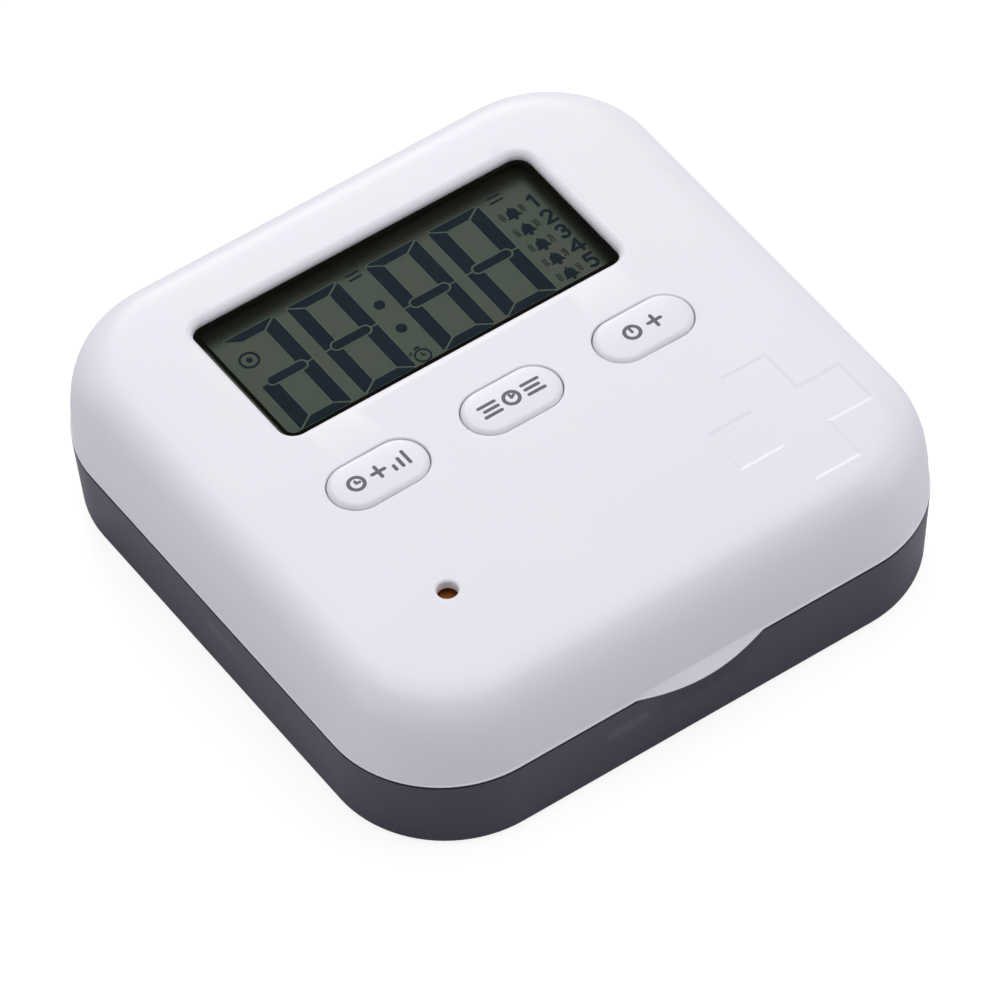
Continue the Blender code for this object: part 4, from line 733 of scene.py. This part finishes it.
def add_flared_cutter(bm, outline, rim):
    """A cutter that leaves a rounded rim: near the lid's top its sides turn outwards."""
    rings = [[(x, y, CEILING_Z - OVERRUN) for x, y in outline(0)]]
    levels = [(spread, -depth) for spread, depth in round_steps(rim, RIM_STEPS, RIM_TURN)]
    levels += [(RIM_SPREAD_SHARE * rim, RIM_LIFT_SHARE * rim), (RIM_SPREAD_SHARE * rim, OVERRUN)]
    for spread, lift in levels:
        rings.append([(x, y, top_z(x, y) + lift) for x, y in outline(spread)])
    add_skin(bm, rings)


def cut_lid_openings(shell):
    """The window, the key openings, the sound hole and the screws' bores."""
    cutters = bmesh.new()
    add_flared_cutter(cutters, window_outline, WINDOW_RIM)
    for key in KEYS:
        at = middle(key)
        add_flared_cutter(cutters, lambda spread: key_outline(KEY_OPENING_GAP + spread, at), KEY_RIM)
    add_flared_cutter(cutters, lambda spread: circle(SOUND_RADIUS + spread, SOUND), SOUND_RIM)
    for nodes, radius in ((COVER_SCREWS, SCREW_BORE), (BOARD_SCREWS, BOARD_SCREW_BORE)):
        for node in nodes:
            tip = box_mm(node)[1].z + BORE_SPARE
            add_prism(cutters, circle(radius, middle(node), BORE_STEPS), POST_BOTTOM_Z - OVERRUN, tip)
    change_by(shell, cutters, "DIFFERENCE")


def cut_plus(shell):
    """Sinks the plus to an even depth: its cutter stands on a copy of the lid's outside, lowered."""
    prism = bmesh.new()
    add_skin(prism, [[(x, y, top_z(x, y) + lift) for x, y in plus_outline(spread)]
                     for spread, lift in PLUS_WALL])
    cutter = add_object("plus_cutter", prism)
    lowered = bmesh.new()
    add_skin(lowered, lid_outer_rings())
    bmesh.ops.translate(lowered, verts=lowered.verts[:], vec=(0, 0, -PLUS_DEPTH))
    change_by(cutter, lowered, "DIFFERENCE")
    bm = mesh_in_mm(cutter.data)
    bpy.data.meshes.remove(cutter.data)
    change_by(shell, bm, "DIFFERENCE")


def make_lid_shell(material):
    bm = bmesh.new()
    add_skin(bm, lid_inner_rings() + lid_outer_rings())
    shell = add_object("lid_shell_finished", bm)
    join_knuckle(shell, -LID_KNUCKLE_LENGTH / 2, LID_KNUCKLE_LENGTH / 2, 1)
    add_lid_posts(shell)
    cut_lid_openings(shell)
    cut_pin_bore(shell)
    cut_plus(shell)
    finish_piece(shell, material, "lid", ("lid_shell",), LID_SHARP)


# Base shell.
def add_divider_guides(shell):
    """Two ribs with lugs on each side wall, which hold an arm of the compartment divider between them."""
    guides = bmesh.new()
    near = DIVIDER_HALF + DIVIDER_SIDE_GAP
    rib, tip = near + GUIDE_THICKNESS, near + GUIDE_THICKNESS + LUG_LENGTH
    root, top, lug_z = BASE_FLOOR - GUIDE_ROOT, BASE_TOP_Z - GUIDE_TOP_GAP, PARTING_Z - LUG_DROP
    low, high = lug_z - LUG_HEIGHT / 2, lug_z + LUG_HEIGHT / 2
    side_view = ((near, root), (rib, root), (rib, low), (tip, low), (tip, high), (rib, high), (rib, top),
                 (near, top))
    inner = base_half(BASE_FLOOR) - BASE_WALL - GUIDE_DEPTH
    outer = base_half(lug_z) - BASE_WALL + GUIDE_ROOT
    for turn in range(4):
        others = set(guides.verts)
        for side in (-1, 1):
            add_bar(guides, [(side * y, z) for y, z in side_view], inner, outer)
        made = [vert for vert in guides.verts if vert not in others]
        bmesh.ops.rotate(guides, verts=made, cent=(0, 0, 0), matrix=Matrix.Rotation(QUARTER * turn, 3, "Z"))
    change_by(shell, guides, "UNION")


def cut_latch_grooves(shell):
    """The two grooves inside the front wall that the lid's hooks snap into."""
    grooves = bmesh.new()
    groove_z = PARTING_Z - GROOVE_DROP
    groove_y = GROOVE_RADIUS - GROOVE_DEPTH - (base_half(groove_z) - BASE_WALL)
    for x in (-HOOK_OFFSET, HOOK_OFFSET):
        outline = circle(GROOVE_RADIUS, (groove_y, groove_z), GROOVE_STEPS)
        add_bar(grooves, outline, x - GROOVE_HALF_LENGTH, x + GROOVE_HALF_LENGTH)
    change_by(shell, grooves, "DIFFERENCE")


def make_base_shell(material):
    bm = bmesh.new()
    add_skin(bm, base_rings())
    shell = add_object("base_shell_finished", bm)
    start = LID_KNUCKLE_LENGTH / 2 + KNUCKLE_GAP
    for low_x, high_x in ((-start - BASE_KNUCKLE_LENGTH, -start), (start, start + BASE_KNUCKLE_LENGTH)):
        join_knuckle(shell, low_x, high_x, -1)
    add_divider_guides(shell)
    cut_pin_bore(shell)
    cut_latch_grooves(shell)
    finish_piece(shell, material, "base", ("base_shell",), BASE_SHARP)


# Keys.
def key_top_z(key, x, y):
    """Height of a key's domed top, whose edge is rounded."""
    at = middle(key)
    reach = max(0.0, abs(x - at.x) - (KEY_HALF_X - KEY_HALF_Y))
    share = min(1.0, math.hypot(reach, y - at.y) / KEY_HALF_Y)
    return box_mm(key)[1].z - KEY_SINK - KEY_DOME * share ** 2


def make_key(key, material):
    """A key with its post and flange below the lid, a rounded edge and a low dome."""
    low, high = box_mm(key)
    high.z -= KEY_SINK
    at = middle(key)
    post = rounded_rectangle(KEY_POST_RADIUS, KEY_POST_RADIUS, KEY_POST_RADIUS, at, KEY_END_STEPS)
    flange_low = KEY_FLANGE_Z - KEY_FLANGE_THICKNESS
    levels = [(post, low.z), (post, flange_low), (key_outline(KEY_FLANGE, at), flange_low),
              (key_outline(KEY_FLANGE, at), KEY_FLANGE_Z), (key_outline(0, at), KEY_FLANGE_Z)]
    edge_z = high.z - KEY_DOME * ((KEY_HALF_Y - KEY_ROUND) / KEY_HALF_Y) ** 2
    for inset, depth in round_steps(KEY_ROUND, FILLET_STEPS):
        levels.append((key_outline(-inset, at), edge_z - depth))
    for step in range(FILLET_STEPS - 1, 0, -1):
        half_y = (KEY_HALF_Y - KEY_ROUND) * step / FILLET_STEPS
        z = high.z - KEY_DOME * (half_y / KEY_HALF_Y) ** 2
        levels.append((key_outline(half_y - KEY_HALF_Y, at), z))
    bm = bmesh.new()
    add_steps(bm, levels)
    finish_piece(add_object(key + "_cap", bm), material, key, (key,), KEY_SHARP)


def make_key_marks(key, material):
    """The signs printed on a key, which follow its dome."""
    clock_x, hands, lines = KEY_SIGNS[key]
    at = middle(key)
    clock = (at.x + clock_x, at.y)
    marks = ring_strokes(clock, CLOCK_RADIUS, MARK_STROKE)
    marks += [stroke(clock, (clock[0] + x, clock[1] + y), HAND_STROKE) for x, y in hands]
    for x, y, end_x, end_y in lines:
        marks.append(stroke((at.x + x, at.y + y), (at.x + end_x, at.y + end_y), MARK_STROKE))
    bm = bmesh.new()
    for outline in marks:
        add_prism(bm, outline, 0, MARK_HEIGHT)
    for vert in bm.verts:
        vert.co.z += key_top_z(key, vert.co.x, vert.co.y) - MARK_SINK
    finish_piece(add_object(key + "_marks", bm), material, key)


# Display.
def make_window_pane(material):
    """The clear pane: a flange under the lid, and a raised middle that fills the window."""
    flange_x, flange_y = (PANE_HIGH.x - PANE_LOW.x) / 2, (PANE_HIGH.y - PANE_LOW.y) / 2
    flange = rounded_rectangle(flange_x, flange_y, WINDOW_RADIUS, WINDOW)
    flange_z = PANE_LOW.z + PANE_FLANGE_THICKNESS
    levels = [(flange, PANE_LOW.z), (flange, flange_z), (window_outline(-PANE_GAP), flange_z)]
    for inset, depth in round_steps(PANE_EDGE, EDGE_STEPS):
        levels.append((window_outline(-PANE_GAP - inset), PANE_HIGH.z - depth))
    bm = bmesh.new()
    add_steps(bm, levels)
    finish_piece(add_object("display_pane", bm), material, "lid", ("display_window",))


def make_window_border(material):
    """The black border printed round the pane: a thin flat frame that lies on it. It also stands in for the
    shade in the gap along the window's edges, so it is partly painted shade.
    """
    bm = bmesh.new()
    face = flat_face(bm, window_outline(-PANE_GAP - PANE_EDGE), PANE_HIGH.z + BORDER_THICKNESS / 2)
    border = inset_border(bm, face, BORDER_WIDTH)
    bmesh.ops.delete(bm, geom=[face], context="FACES")
    extrude(bm, border, (0, 0, BORDER_THICKNESS))
    finish_piece(add_object("window_border", bm), material, "lid")


def digit_segments(left):
    """Outlines of a digit's seven segments by name, which meet along their mitres."""
    half_width = DIGIT_WIDTH / 2
    half_height = (DIGIT_HIGH_Y - DIGIT_LOW_Y) / 2
    inner_x = half_width - UPRIGHT_WIDTH
    inner_y = half_height - CROSSBAR_WIDTH
    mitre_x = half_width - CORNER_CUT / 2
    mitre_y = half_height - CORNER_CUT / 2
    top = [(-mitre_x, mitre_y), (-inner_x, inner_y), (inner_x, inner_y), (mitre_x, mitre_y),
           (half_width - CORNER_CUT, half_height), (CORNER_CUT - half_width, half_height)]
    end_x = half_width - CAPSULE_INSET - CAPSULE_RADIUS
    bar = (arc((end_x, 0), CAPSULE_RADIUS, -QUARTER, math.pi, CURVE_STEPS)
           + arc((-end_x, 0), CAPSULE_RADIUS, QUARTER, math.pi, CURVE_STEPS))
    notch = arc((end_x, 0), CAPSULE_RADIUS, 0, QUARTER, CURVE_STEPS // 2)
    upright = [(half_width, 0)] + notch
    upright += [(inner_x, CAPSULE_RADIUS), (inner_x, inner_y), (mitre_x, mitre_y),
                (half_width, half_height - CORNER_CUT)]
    shapes = {"top": (top, 1, 1), "middle": (bar, 1, 1), "bottom": (top, 1, -1),
              "upper_right": (upright, 1, 1), "upper_left": (upright, -1, 1),
              "lower_right": (upright, 1, -1), "lower_left": (upright, -1, -1)}
    middle_x, middle_y = left + half_width, (DIGIT_LOW_Y + DIGIT_HIGH_Y) / 2
    return {name: [(middle_x + side_x * x, middle_y + side_y * y) for x, y in outline]
            for name, (outline, side_x, side_y) in shapes.items()}


def bell_outlines(x, y):
    """A bell with its clapper and two ringing arcs on each side."""
    body = [(x - 1.1, y - 0.7), (x + 1.1, y - 0.7), (x + 0.82, y - 0.32)]
    body += arc((x, y + 0.2), 0.74, 0, math.pi, 10) + [(x - 0.82, y - 0.32)]
    outlines = [body, circle(0.28, (x, y - 0.95), 12), circle(0.18, (x, y + 1.05), 10)]
    for side in (0, math.pi):
        for radius in (1.4, 1.75):
            outlines.append(curved_stroke((x, y + 0.2), radius, side - 0.45, 0.9, 0.14))
    return outlines


def number_strokes(number, x, y):
    """A bold plain number from 1 to 5."""
    lines = {
        1: [(-0.45, 0.6), (0.1, 1.0), (0.1, -1.0)],
        2: arc((0, 0.42), 0.6, 2.8, -3.3, STROKE_STEPS) + [(-0.62, -1.0), (0.68, -1.0)],
        3: arc((0, 0.5), 0.52, 2.6, -4.2, STROKE_STEPS) + arc((0, -0.44), 0.58, 1.5, -4.1, STROKE_STEPS),
        4: [(0.38, -1.0), (0.38, 1.0), (-0.85, -0.4), (0.85, -0.4)],
        5: [(0.6, 1.0), (-0.42, 1.0), (-0.5, 0.12)] + arc((-0.02, -0.38), 0.64, 2.1, -4.4, STROKE_STEPS),
    }
    points = [(x + NUMBER_SCALE * dx, y + NUMBER_SCALE * dy) for dx, dy in lines[number]]
    return line_strokes(points, NUMBER_STROKE)


def sign_outlines():
    """The small signs round the digits: a stopwatch, a ring with a dot, and two short double bars."""
    x, y = STOPWATCH
    signs = ring_strokes(STOPWATCH, 1.05, 0.22)
    signs += line_strokes([(x, y + 0.5), (x, y), (x + 0.35, y)], 0.18)
    signs.append(stroke((x - 0.3, y + 1.5), (x + 0.3, y + 1.5), 0.32))
    signs.append(stroke((x - 1.3, y + 0.95), (x - 1.05, y + 1.2), 0.26))
    signs += ring_strokes(RING_SIGN, 1.25, 0.3) + [circle(0.42, RING_SIGN, 16)]
    for x, y in BAR_SIGNS:
        for lift in (-0.45, 0.45):
            signs.append(stroke((x - 0.9, y + lift), (x + 0.9, y + lift), 0.28))
    return signs


def make_display(gap_material, ink_material):
    """Every dark sign on the glass, and the pale gaps under the digits' segments."""
    gaps, ink = bmesh.new(), bmesh.new()
    ink_low = INK_LOW_Z + INK_THICKNESS
    for number, left in enumerate(DIGIT_LEFT_X):
        for name, outline in digit_segments(left).items():
            if number > 0 or name != "upper_left":
                add_prism(gaps, outline, INK_LOW_Z, INK_LOW_Z + INK_THICKNESS / 2, GAP_INSET)
                add_prism(ink, outline, ink_low, ink_low + INK_THICKNESS, SEGMENT_GAP / 2)
    outlines = [circle(COLON_RADIUS, place, COLON_STEPS) for place in COLON_PLACES] + sign_outlines()
    for number, y in enumerate(BELL_ROWS, 1):
        outlines += bell_outlines(BELL_X, y) + number_strokes(number, NUMBER_X, y + NUMBER_LIFT)
    for number, outline in enumerate(outlines):
        lift = number % STROKE_LAYERS * STROKE_LAYER
        add_prism(ink, outline, ink_low, ink_low + INK_THICKNESS + lift)
    finish_piece(add_object("segment_gaps", gaps), gap_material, "lid")
    finish_piece(add_object("segments", ink), ink_material, "lid")


# Materials.
def srgb(text):
    """An sRGB hex colour as linear RGBA."""
    values = [int(text[k:k + 2], 16) / 255 for k in (1, 3, 5)]
    return (*(v / 12.92 if v <= 0.04045 else ((v + 0.055) / 1.055) ** 2.4 for v in values), 1)


def per_mm(size):
    """The texture scale whose pattern repeats about once in so many millimetres."""
    return 1 / (size * MM)


def set_inputs(tree, node, inputs):
    """Sets inputs to numbers or hex colours, or links them to a socket or to a node's first output in use."""
    for socket, value in inputs.items():
        if isinstance(value, bpy.types.Node):
            value = next(output for output in value.outputs if output.enabled)
        if isinstance(value, bpy.types.NodeSocket):
            tree.links.new(value, node.inputs[socket])
        else:
            node.inputs[socket].default_value = srgb(value) if isinstance(value, str) else value


def add_node(tree, kind, inputs, **settings):
    """Adds a node with its settings, and sets or links its inputs."""
    node = tree.nodes.new("ShaderNode" + kind)
    for name, value in settings.items():
        setattr(node, name, value)
    set_inputs(tree, node, inputs)
    return node


def new_material(name, inputs):
    """A material with a Principled shader, and the object's own coordinates in metres."""
    material = bpy.data.materials.new(name)
    material.use_nodes = True
    tree = material.node_tree
    shader = tree.nodes["Principled BSDF"]
    set_inputs(tree, shader, inputs)
    return material, tree, shader, add_node(tree, "TexCoord", {}).outputs["Object"]


def mottle(tree, place, size, detail, light, dark):
    """Soft clouds of a size in millimetres, and the tone that drifts with them."""
    clouds = add_node(tree, "TexNoise", {"Vector": place, "Scale": per_mm(size), "Detail": detail})
    return clouds, add_node(tree, "Mix", {0: clouds, 6: light, 7: dark}, data_type="RGBA")


def give_surface(tree, shader, tone, gloss, relief, reach=(0, 1)):
    """A tone, gloss as (noise, lowest, highest roughness) and relief as (noise, strength, depth in mm)."""
    noise, smooth, rough = gloss
    height, strength, depth = relief
    roughness = add_node(tree, "MapRange", {"Value": noise, "From Min": reach[0], "From Max": reach[1],
                                            "To Min": smooth, "To Max": rough})
    bump = add_node(tree, "Bump", {"Height": height, "Strength": strength, "Distance": depth * MM})
    set_inputs(tree, shader, {"Base Color": tone, "Roughness": roughness, "Normal": bump})


def moulded_plastic(name, light, dark, roughness, grain_size, grain_depth):
    """Injection-moulded ABS. The mould's grain breaks up its gloss, and the melt leaves faint clouds.

    Real grain is about 0.1 mm, too fine to show, so it is drawn three or four times as coarse.
    """
    material, tree, shader, place = new_material(name, {})
    tone = mottle(tree, place, 26, 2.0, light, dark)[1]
    grain = add_node(tree, "TexNoise", {"Vector": place, "Scale": per_mm(grain_size), "Detail": 3.0})
    give_surface(tree, shader, tone, (grain, roughness - 0.05, roughness + 0.05), (grain, 0.35, grain_depth),
                 NOISE_REACH)
    return material


def smoky_plastic():
    """Smoke-grey ABS, moulded: satin, with painted light in a paler bar in the front wall and in the left
    one, where a latch hook and a divider guide stand behind the wall.
    """
    material, tree, shader, place = new_material("smoky_abs_moulded", {"IOR": 1.48})
    clouds, colour = mottle(tree, place, 30, 2.0, "#3e3b48", "#353340")
    axes = add_node(tree, "SeparateXYZ", {"Vector": place}).outputs
    lift = add_node(tree, "Math", {0: axes["Z"], 1: (PARTING_Z - GROOVE_DROP) * MM}, operation="SUBTRACT")
    height = add_node(tree, "Math", {0: lift}, operation="ABSOLUTE")
    band = add_node(tree, "MapRange", {"Value": height, "From Min": PAINTED_LIGHT_HEIGHTS[0] * MM,
                                       "From Max": PAINTED_LIGHT_HEIGHTS[1] * MM, "To Max": PAINTED_LIGHT_SHARE},
                    interpolation_type="SMOOTHSTEP")
    # Painted light: the paler bars stand in for light that the smoky wall would let through in front of the
    # parts behind it.
    for across, along, at in PAINTED_LIGHT_BARS:
        skin = add_node(tree, "MapRange", {"Value": axes[across], "From Min": (PAINTED_LIGHT_DEPTHS[0] - HALF) * MM,
                                           "From Max": (PAINTED_LIGHT_DEPTHS[1] - HALF) * MM})
        offset = add_node(tree, "Math", {0: axes[along], 1: at * MM}, operation="SUBTRACT")
        length = add_node(tree, "Math", {0: offset}, operation="ABSOLUTE")
        ends = add_node(tree, "MapRange", {"Value": length, "From Min": GROOVE_HALF_LENGTH * MM,
                                           "From Max": (GROOVE_HALF_LENGTH - PAINTED_LIGHT_END) * MM},
                        interpolation_type="SMOOTHSTEP")
        both = add_node(tree, "Math", {0: ends, 1: band}, operation="MULTIPLY")
        mask = add_node(tree, "Math", {0: both, 1: skin}, operation="MULTIPLY")
        colour = add_node(tree, "Mix", {0: mask, 6: colour, 7: "#5f5d69"}, data_type="RGBA")
    # Its grain is drawn coarser than it is, as the white plastic's is.
    grain = add_node(tree, "TexNoise", {"Vector": place, "Scale": per_mm(0.35), "Detail": 2.0})
    give_surface(tree, shader, colour, (clouds, 0.36, 0.44), (grain, 0.25, 0.004), NOISE_REACH)
    return material


def clear_acrylic():
    """Clear acrylic, moulded and polished: seen straight through, with a reflection that grows at a slant."""
    material, tree, shader, place = new_material("clear_acrylic_polished", {})
    facing = add_node(tree, "LayerWeight", {"Blend": 0.5}).outputs["Facing"]
    steep = add_node(tree, "Math", {0: facing, 1: 5.0}, operation="POWER")
    share = add_node(tree, "MapRange", {"Value": steep, "From Min": 0.02, "To Max": 0.9})
    clear = add_node(tree, "BsdfTransparent", {"Color": "#f3f6f2"})
    haze = add_node(tree, "TexNoise", {"Vector": place, "Scale": per_mm(9), "Detail": 3.0})
    gloss = add_node(tree, "MapRange", {"Value": haze, "To Min": 0.02, "To Max": 0.07})
    shine = add_node(tree, "BsdfGlossy", {"Color": "#ffffff", "Roughness": gloss})
    both = add_node(tree, "MixShader", {0: share, 1: clear, 2: shine})
    set_inputs(tree, tree.nodes["Material Output"], {"Surface": both})
    tree.nodes.remove(shader)
    return material


def display_film():
    """Olive polarising film, laminated: matt and faintly mottled, with painted shade along the window's back
    and right, where the lid's rim shades the film.
    """
    material, tree, shader, place = new_material("polarising_film_laminated",
                                                 {"Roughness": 0.5, "Specular IOR Level": 0.1})
    clouds = add_node(tree, "TexNoise", {"Vector": place, "Scale": per_mm(8), "Detail": 3.0})
    patch = add_node(tree, "MapRange", {"Value": clouds, "From Min": 0.25, "From Max": 0.75})
    colour = add_node(tree, "Mix", {0: patch, 6: "#5e5c58", 7: "#55605a"}, data_type="RGBA")
    axes = add_node(tree, "SeparateXYZ", {"Vector": place}).outputs
    # Painted shade: the film darkens towards the window's back and right edges, under the lid's overhang.
    for axis, edge, width in (("Y", WINDOW.y + WINDOW_HALF_Y, 4.2), ("X", WINDOW.x + WINDOW_HALF_X, 2.4)):
        shade = add_node(tree, "MapRange", {"Value": axes[axis], "From Min": (edge - width) * MM,
                                            "From Max": (edge - width / 3) * MM},
                         interpolation_type="SMOOTHSTEP")
        colour = add_node(tree, "Mix", {0: shade, 6: colour, 7: "#292923"}, data_type="RGBA")
    set_inputs(tree, shader, {"Base Color": colour})
    return material


def matt_tone(name, light, dark):
    """Printed ink or liquid crystal: a flat tone that drifts slightly and has no gloss of its own."""
    material, tree, shader, place = new_material(name, {"Roughness": 0.6, "Specular IOR Level": 0.0})
    set_inputs(tree, shader, {"Base Color": mottle(tree, place, 12, 2.0, light, dark)[1]})
    return material


def board_laminate():
    """Glass-fibre laminate under green solder mask: copper tracks show as paler lines."""
    material, tree, shader, place = new_material("fr4_solder_mask", {"Roughness": 0.38})
    tracks = add_node(tree, "TexBrick", {"Vector": place, "Color1": "#1f6a3a", "Color2": "#1c6035",
                                         "Mortar": "#3f9a58", "Scale": per_mm(4), "Mortar Size": 0.04})
    height = add_node(tree, "Bump", {"Height": tracks.outputs["Fac"], "Strength": 0.4, "Distance": 0.03 * MM},
                      invert=True)
    set_inputs(tree, shader, {"Base Color": tracks, "Normal": height})
    return material


def cell_jacket(node, way):
    """A dry cell's shrunk film, with bare metal at both ends. Its raised end lies along way on X."""
    low, high = box_mm(node)
    start, end = (low.x, high.x) if way > 0 else (high.x, low.x)
    name = "cell_film_shrunk_" + node.rsplit("_", 1)[1]
    material, tree, shader, place = new_material(name, {"Roughness": 0.32})
    length = add_node(tree, "SeparateXYZ", {"Vector": place}).outputs["X"]
    along = add_node(tree, "MapRange", {"Value": length, "From Min": start * MM, "From Max": end * MM})
    for socket, stops in CELL_BANDS.items():
        bands = add_node(tree, "ValToRGB", {"Fac": along})
        bands.color_ramp.interpolation = "CONSTANT"
        for position, colour in stops:
            stop = bands.color_ramp.elements.new(position)
            stop.color = srgb(colour)
        set_inputs(tree, shader, {socket: bands})
    return material


def turned_steel():
    """Nickel-plated steel, turned: bright, with fine marks of the tool, drawn coarser so that they show."""
    material, tree, shader, place = new_material("nickel_plated_steel_turned", {"Metallic": 1.0})
    marks = add_node(tree, "TexNoise", {"Vector": place, "Scale": per_mm(0.25), "Detail": 2.0})
    give_surface(tree, shader, "#b8b6b2", (marks, 0.18, 0.4), (marks, 0.25, 0.005))
    return material


def speckled(name):
    """A small piece's finish: its tone and its gloss vary a little with a fine speckle."""
    colour, roughness, metallic, size, variation = SPECKLED_FINISHES[name]
    material, tree, shader, place = new_material(name, {"Metallic": metallic})
    light = srgb(colour)
    dark = tuple(channel * (1 - 2 * variation) for channel in light[:3]) + (1,)
    speckle, tone = mottle(tree, place, size, 3.0, light, dark)
    give_surface(tree, shader, tone, (speckle, roughness * 0.75, roughness * 1.25), (speckle, 0.3, 0.01))
    return material


# Floor, light and camera.
def backdrop_share(tree, *kinds):
    """1 for the kinds of ray that see the plain white backdrop, and 0 for the others."""
    path = add_node(tree, "LightPath", {}).outputs
    share = path[f"Is {kinds[0]} Ray"]
    for kind in kinds[1:]:
        share = add_node(tree, "Math", {0: share, 1: path[f"Is {kind} Ray"]}, operation="MAXIMUM")
    return share


def make_floor():
    """A pale painted floor. Its white comes from a glow of its own, so that it keeps the box's shadow."""
    bm = bmesh.new()
    bmesh.ops.create_grid(bm, x_segments=1, y_segments=1, size=FLOOR_HALF)
    bmesh.ops.translate(bm, verts=bm.verts[:], vec=(0, 0, -FLOOR_DROP))
    floor = add_object("floor", bm)
    material, tree, shader = new_material("painted_floor", {"Roughness": 0.9, "Specular IOR Level": 0.0})[:3]
    share = backdrop_share(tree, "Camera", "Transmission")
    colour = add_node(tree, "Mix", {0: share, 6: "#e2e1e5", 7: "#929294"}, data_type="RGBA")
    glow = add_node(tree, "Math", {0: share, 1: FLOOR_GLOW}, operation="MULTIPLY")
    set_inputs(tree, shader, {"Base Color": colour, "Emission Color": "#ffffff", "Emission Strength": glow})
    floor.data.materials.append(material)


def make_world():
    """A pale grey room that lights the box, and looks white behind it and in its reflections."""
    world = bpy.data.worlds.new("pale_room")
    bpy.context.scene.world = world
    world.use_nodes = True
    tree = world.node_tree
    share = backdrop_share(tree, "Camera", "Glossy", "Transmission")
    colour = add_node(tree, "Mix", {0: share, 6: "#9f9ea3", 7: "#ffffff"}, data_type="RGBA")
    set_inputs(tree, tree.nodes["Background"], {"Color": colour, "Strength": 1.0})


def add_lamp(name, at, size, power, colour):
    """A round soft lamp that faces the box."""
    light = bpy.data.lights.new(name, "AREA")
    light.shape = "DISK"
    light.size = size
    light.energy = power
    light.color = srgb(colour)[:3]
    lamp = bpy.data.objects.new(name, light)
    bpy.context.scene.collection.objects.link(lamp)
    lamp.location = at
    lamp.rotation_euler = (Vector(at) - LAMP_TARGET).to_track_quat("Z", "Y").to_euler()


def make_camera():
    back = Vector((math.sin(CAMERA_AZIMUTH) * math.cos(CAMERA_ELEVATION),
                   -math.cos(CAMERA_AZIMUTH) * math.cos(CAMERA_ELEVATION), math.sin(CAMERA_ELEVATION)))
    level = Vector((math.cos(CAMERA_AZIMUTH), math.sin(CAMERA_AZIMUTH), 0))
    right = level * math.cos(CAMERA_ROLL) + back.cross(level) * math.sin(CAMERA_ROLL)
    up = back.cross(right)
    camera = bpy.data.objects.new("camera", bpy.data.cameras.new("camera"))
    bpy.context.scene.collection.objects.link(camera)
    camera.data.sensor_width = SENSOR_WIDTH
    camera.data.lens = FOCAL_PIXELS / PHOTO_PIXELS * SENSOR_WIDTH
    camera.data.clip_end = CLIP_END
    place = Matrix((right, up, back)).transposed().to_4x4()
    place.translation = (CAMERA_TARGET + back * CAMERA_DISTANCE) * MM
    camera.matrix_world = place
    bpy.context.scene.camera = camera


# The pieces with their materials.
def make_pieces(cover_white, steel):
    """The new pieces that stand for CAD nodes, and what is printed on them."""
    white = moulded_plastic("white_abs_moulded", "#e9e8ed", "#e4e3e9", 0.4, 0.3, 0.006)
    key_white = moulded_plastic("key_abs_moulded", "#e8e7ed", "#e4e3e9", 0.34, 0.35, 0.004)
    smoky = smoky_plastic()
    mark_ink = speckled("grey_pad_printing_ink")
    make_lid_shell(white)
    make_base_shell(smoky)
    for key in KEYS:
        make_key(key, key_white)
        make_key_marks(key, mark_ink)
    make_window_pane(clear_acrylic())
    make_window_border(matt_tone("black_screen_printing_ink", "#11100e", "#141310"))
    make_display(matt_tone("liquid_crystal_gap_pale", "#76837b", "#6f7b70"),
                 matt_tone("liquid_crystal_segment_dark", "#28303d", "#303845"))
    add_softened("lid_inner_cover", cover_white, "lid", 0.12)
    add_softened("battery_door", cover_white, "battery_door", 0.12)
    add_softened("compartment_divider", smoky, "base", 0.18, 3)
    add_softened("hinge_pin", steel, "base", 0.05)
    for node in COVER_SCREWS:
        add_softened(node, steel, "lid", 0.06)


def finish_cad_nodes(cover_white, steel):
    """Gives each CAD node that stays its material."""
    finishes = {
        "lcd_glass": display_film(),
        "lcd_reflector": speckled("aluminised_film_rolled"),
        "lcd_frame": cover_white,
        "circuit_board": board_laminate(),
        "controller_chip": speckled("black_epoxy_cast"),
        "quartz_crystal": steel,
        "battery_cell_back": cell_jacket("battery_cell_back", 1),
        "battery_cell_front": cell_jacket("battery_cell_front", -1),
        "sounder_gasket": speckled("polyurethane_foam_die_cut"),
        "sounder_disc": speckled("brass_sheet_stamped"),
        "sounder_ceramic": speckled("silvered_ceramic_fired"),
        "sounder_retainer": cover_white,
    }
    # A node belongs to the first family whose words are in its name.
    families = (
        ("lcd_connector_", speckled("silicone_rubber_extruded")),
        ("_switch_stem", speckled("red_acetal_moulded")),
        ("_key_switch", speckled("black_nylon_moulded")),
        ("_lead_plus", speckled("red_pvc_sleeve_extruded")),
        ("_lead_minus", speckled("black_pvc_sleeve_extruded")),
        ("battery_contact_", steel),
        ("battery_spring_", steel),
        ("board_screw_", steel),
    )
    for node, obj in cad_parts.items():
        for family, material in families:
            if family in node:
                finishes.setdefault(node, material)
        if node in finishes:
            for slot in obj.material_slots:
                slot.material = finishes[node]


def main():
    make_camera()
    cover_white = moulded_plastic("cover_abs_moulded", "#e4e4ea", "#dcdce3", 0.48, 0.4, 0.012)
    steel = turned_steel()
    make_pieces(cover_white, steel)
    finish_cad_nodes(cover_white, steel)
    make_floor()
    make_world()
    for name, lamp in LAMPS.items():
        add_lamp(name, *lamp)
    bpy.context.scene.view_settings.view_transform = "Standard"


main()
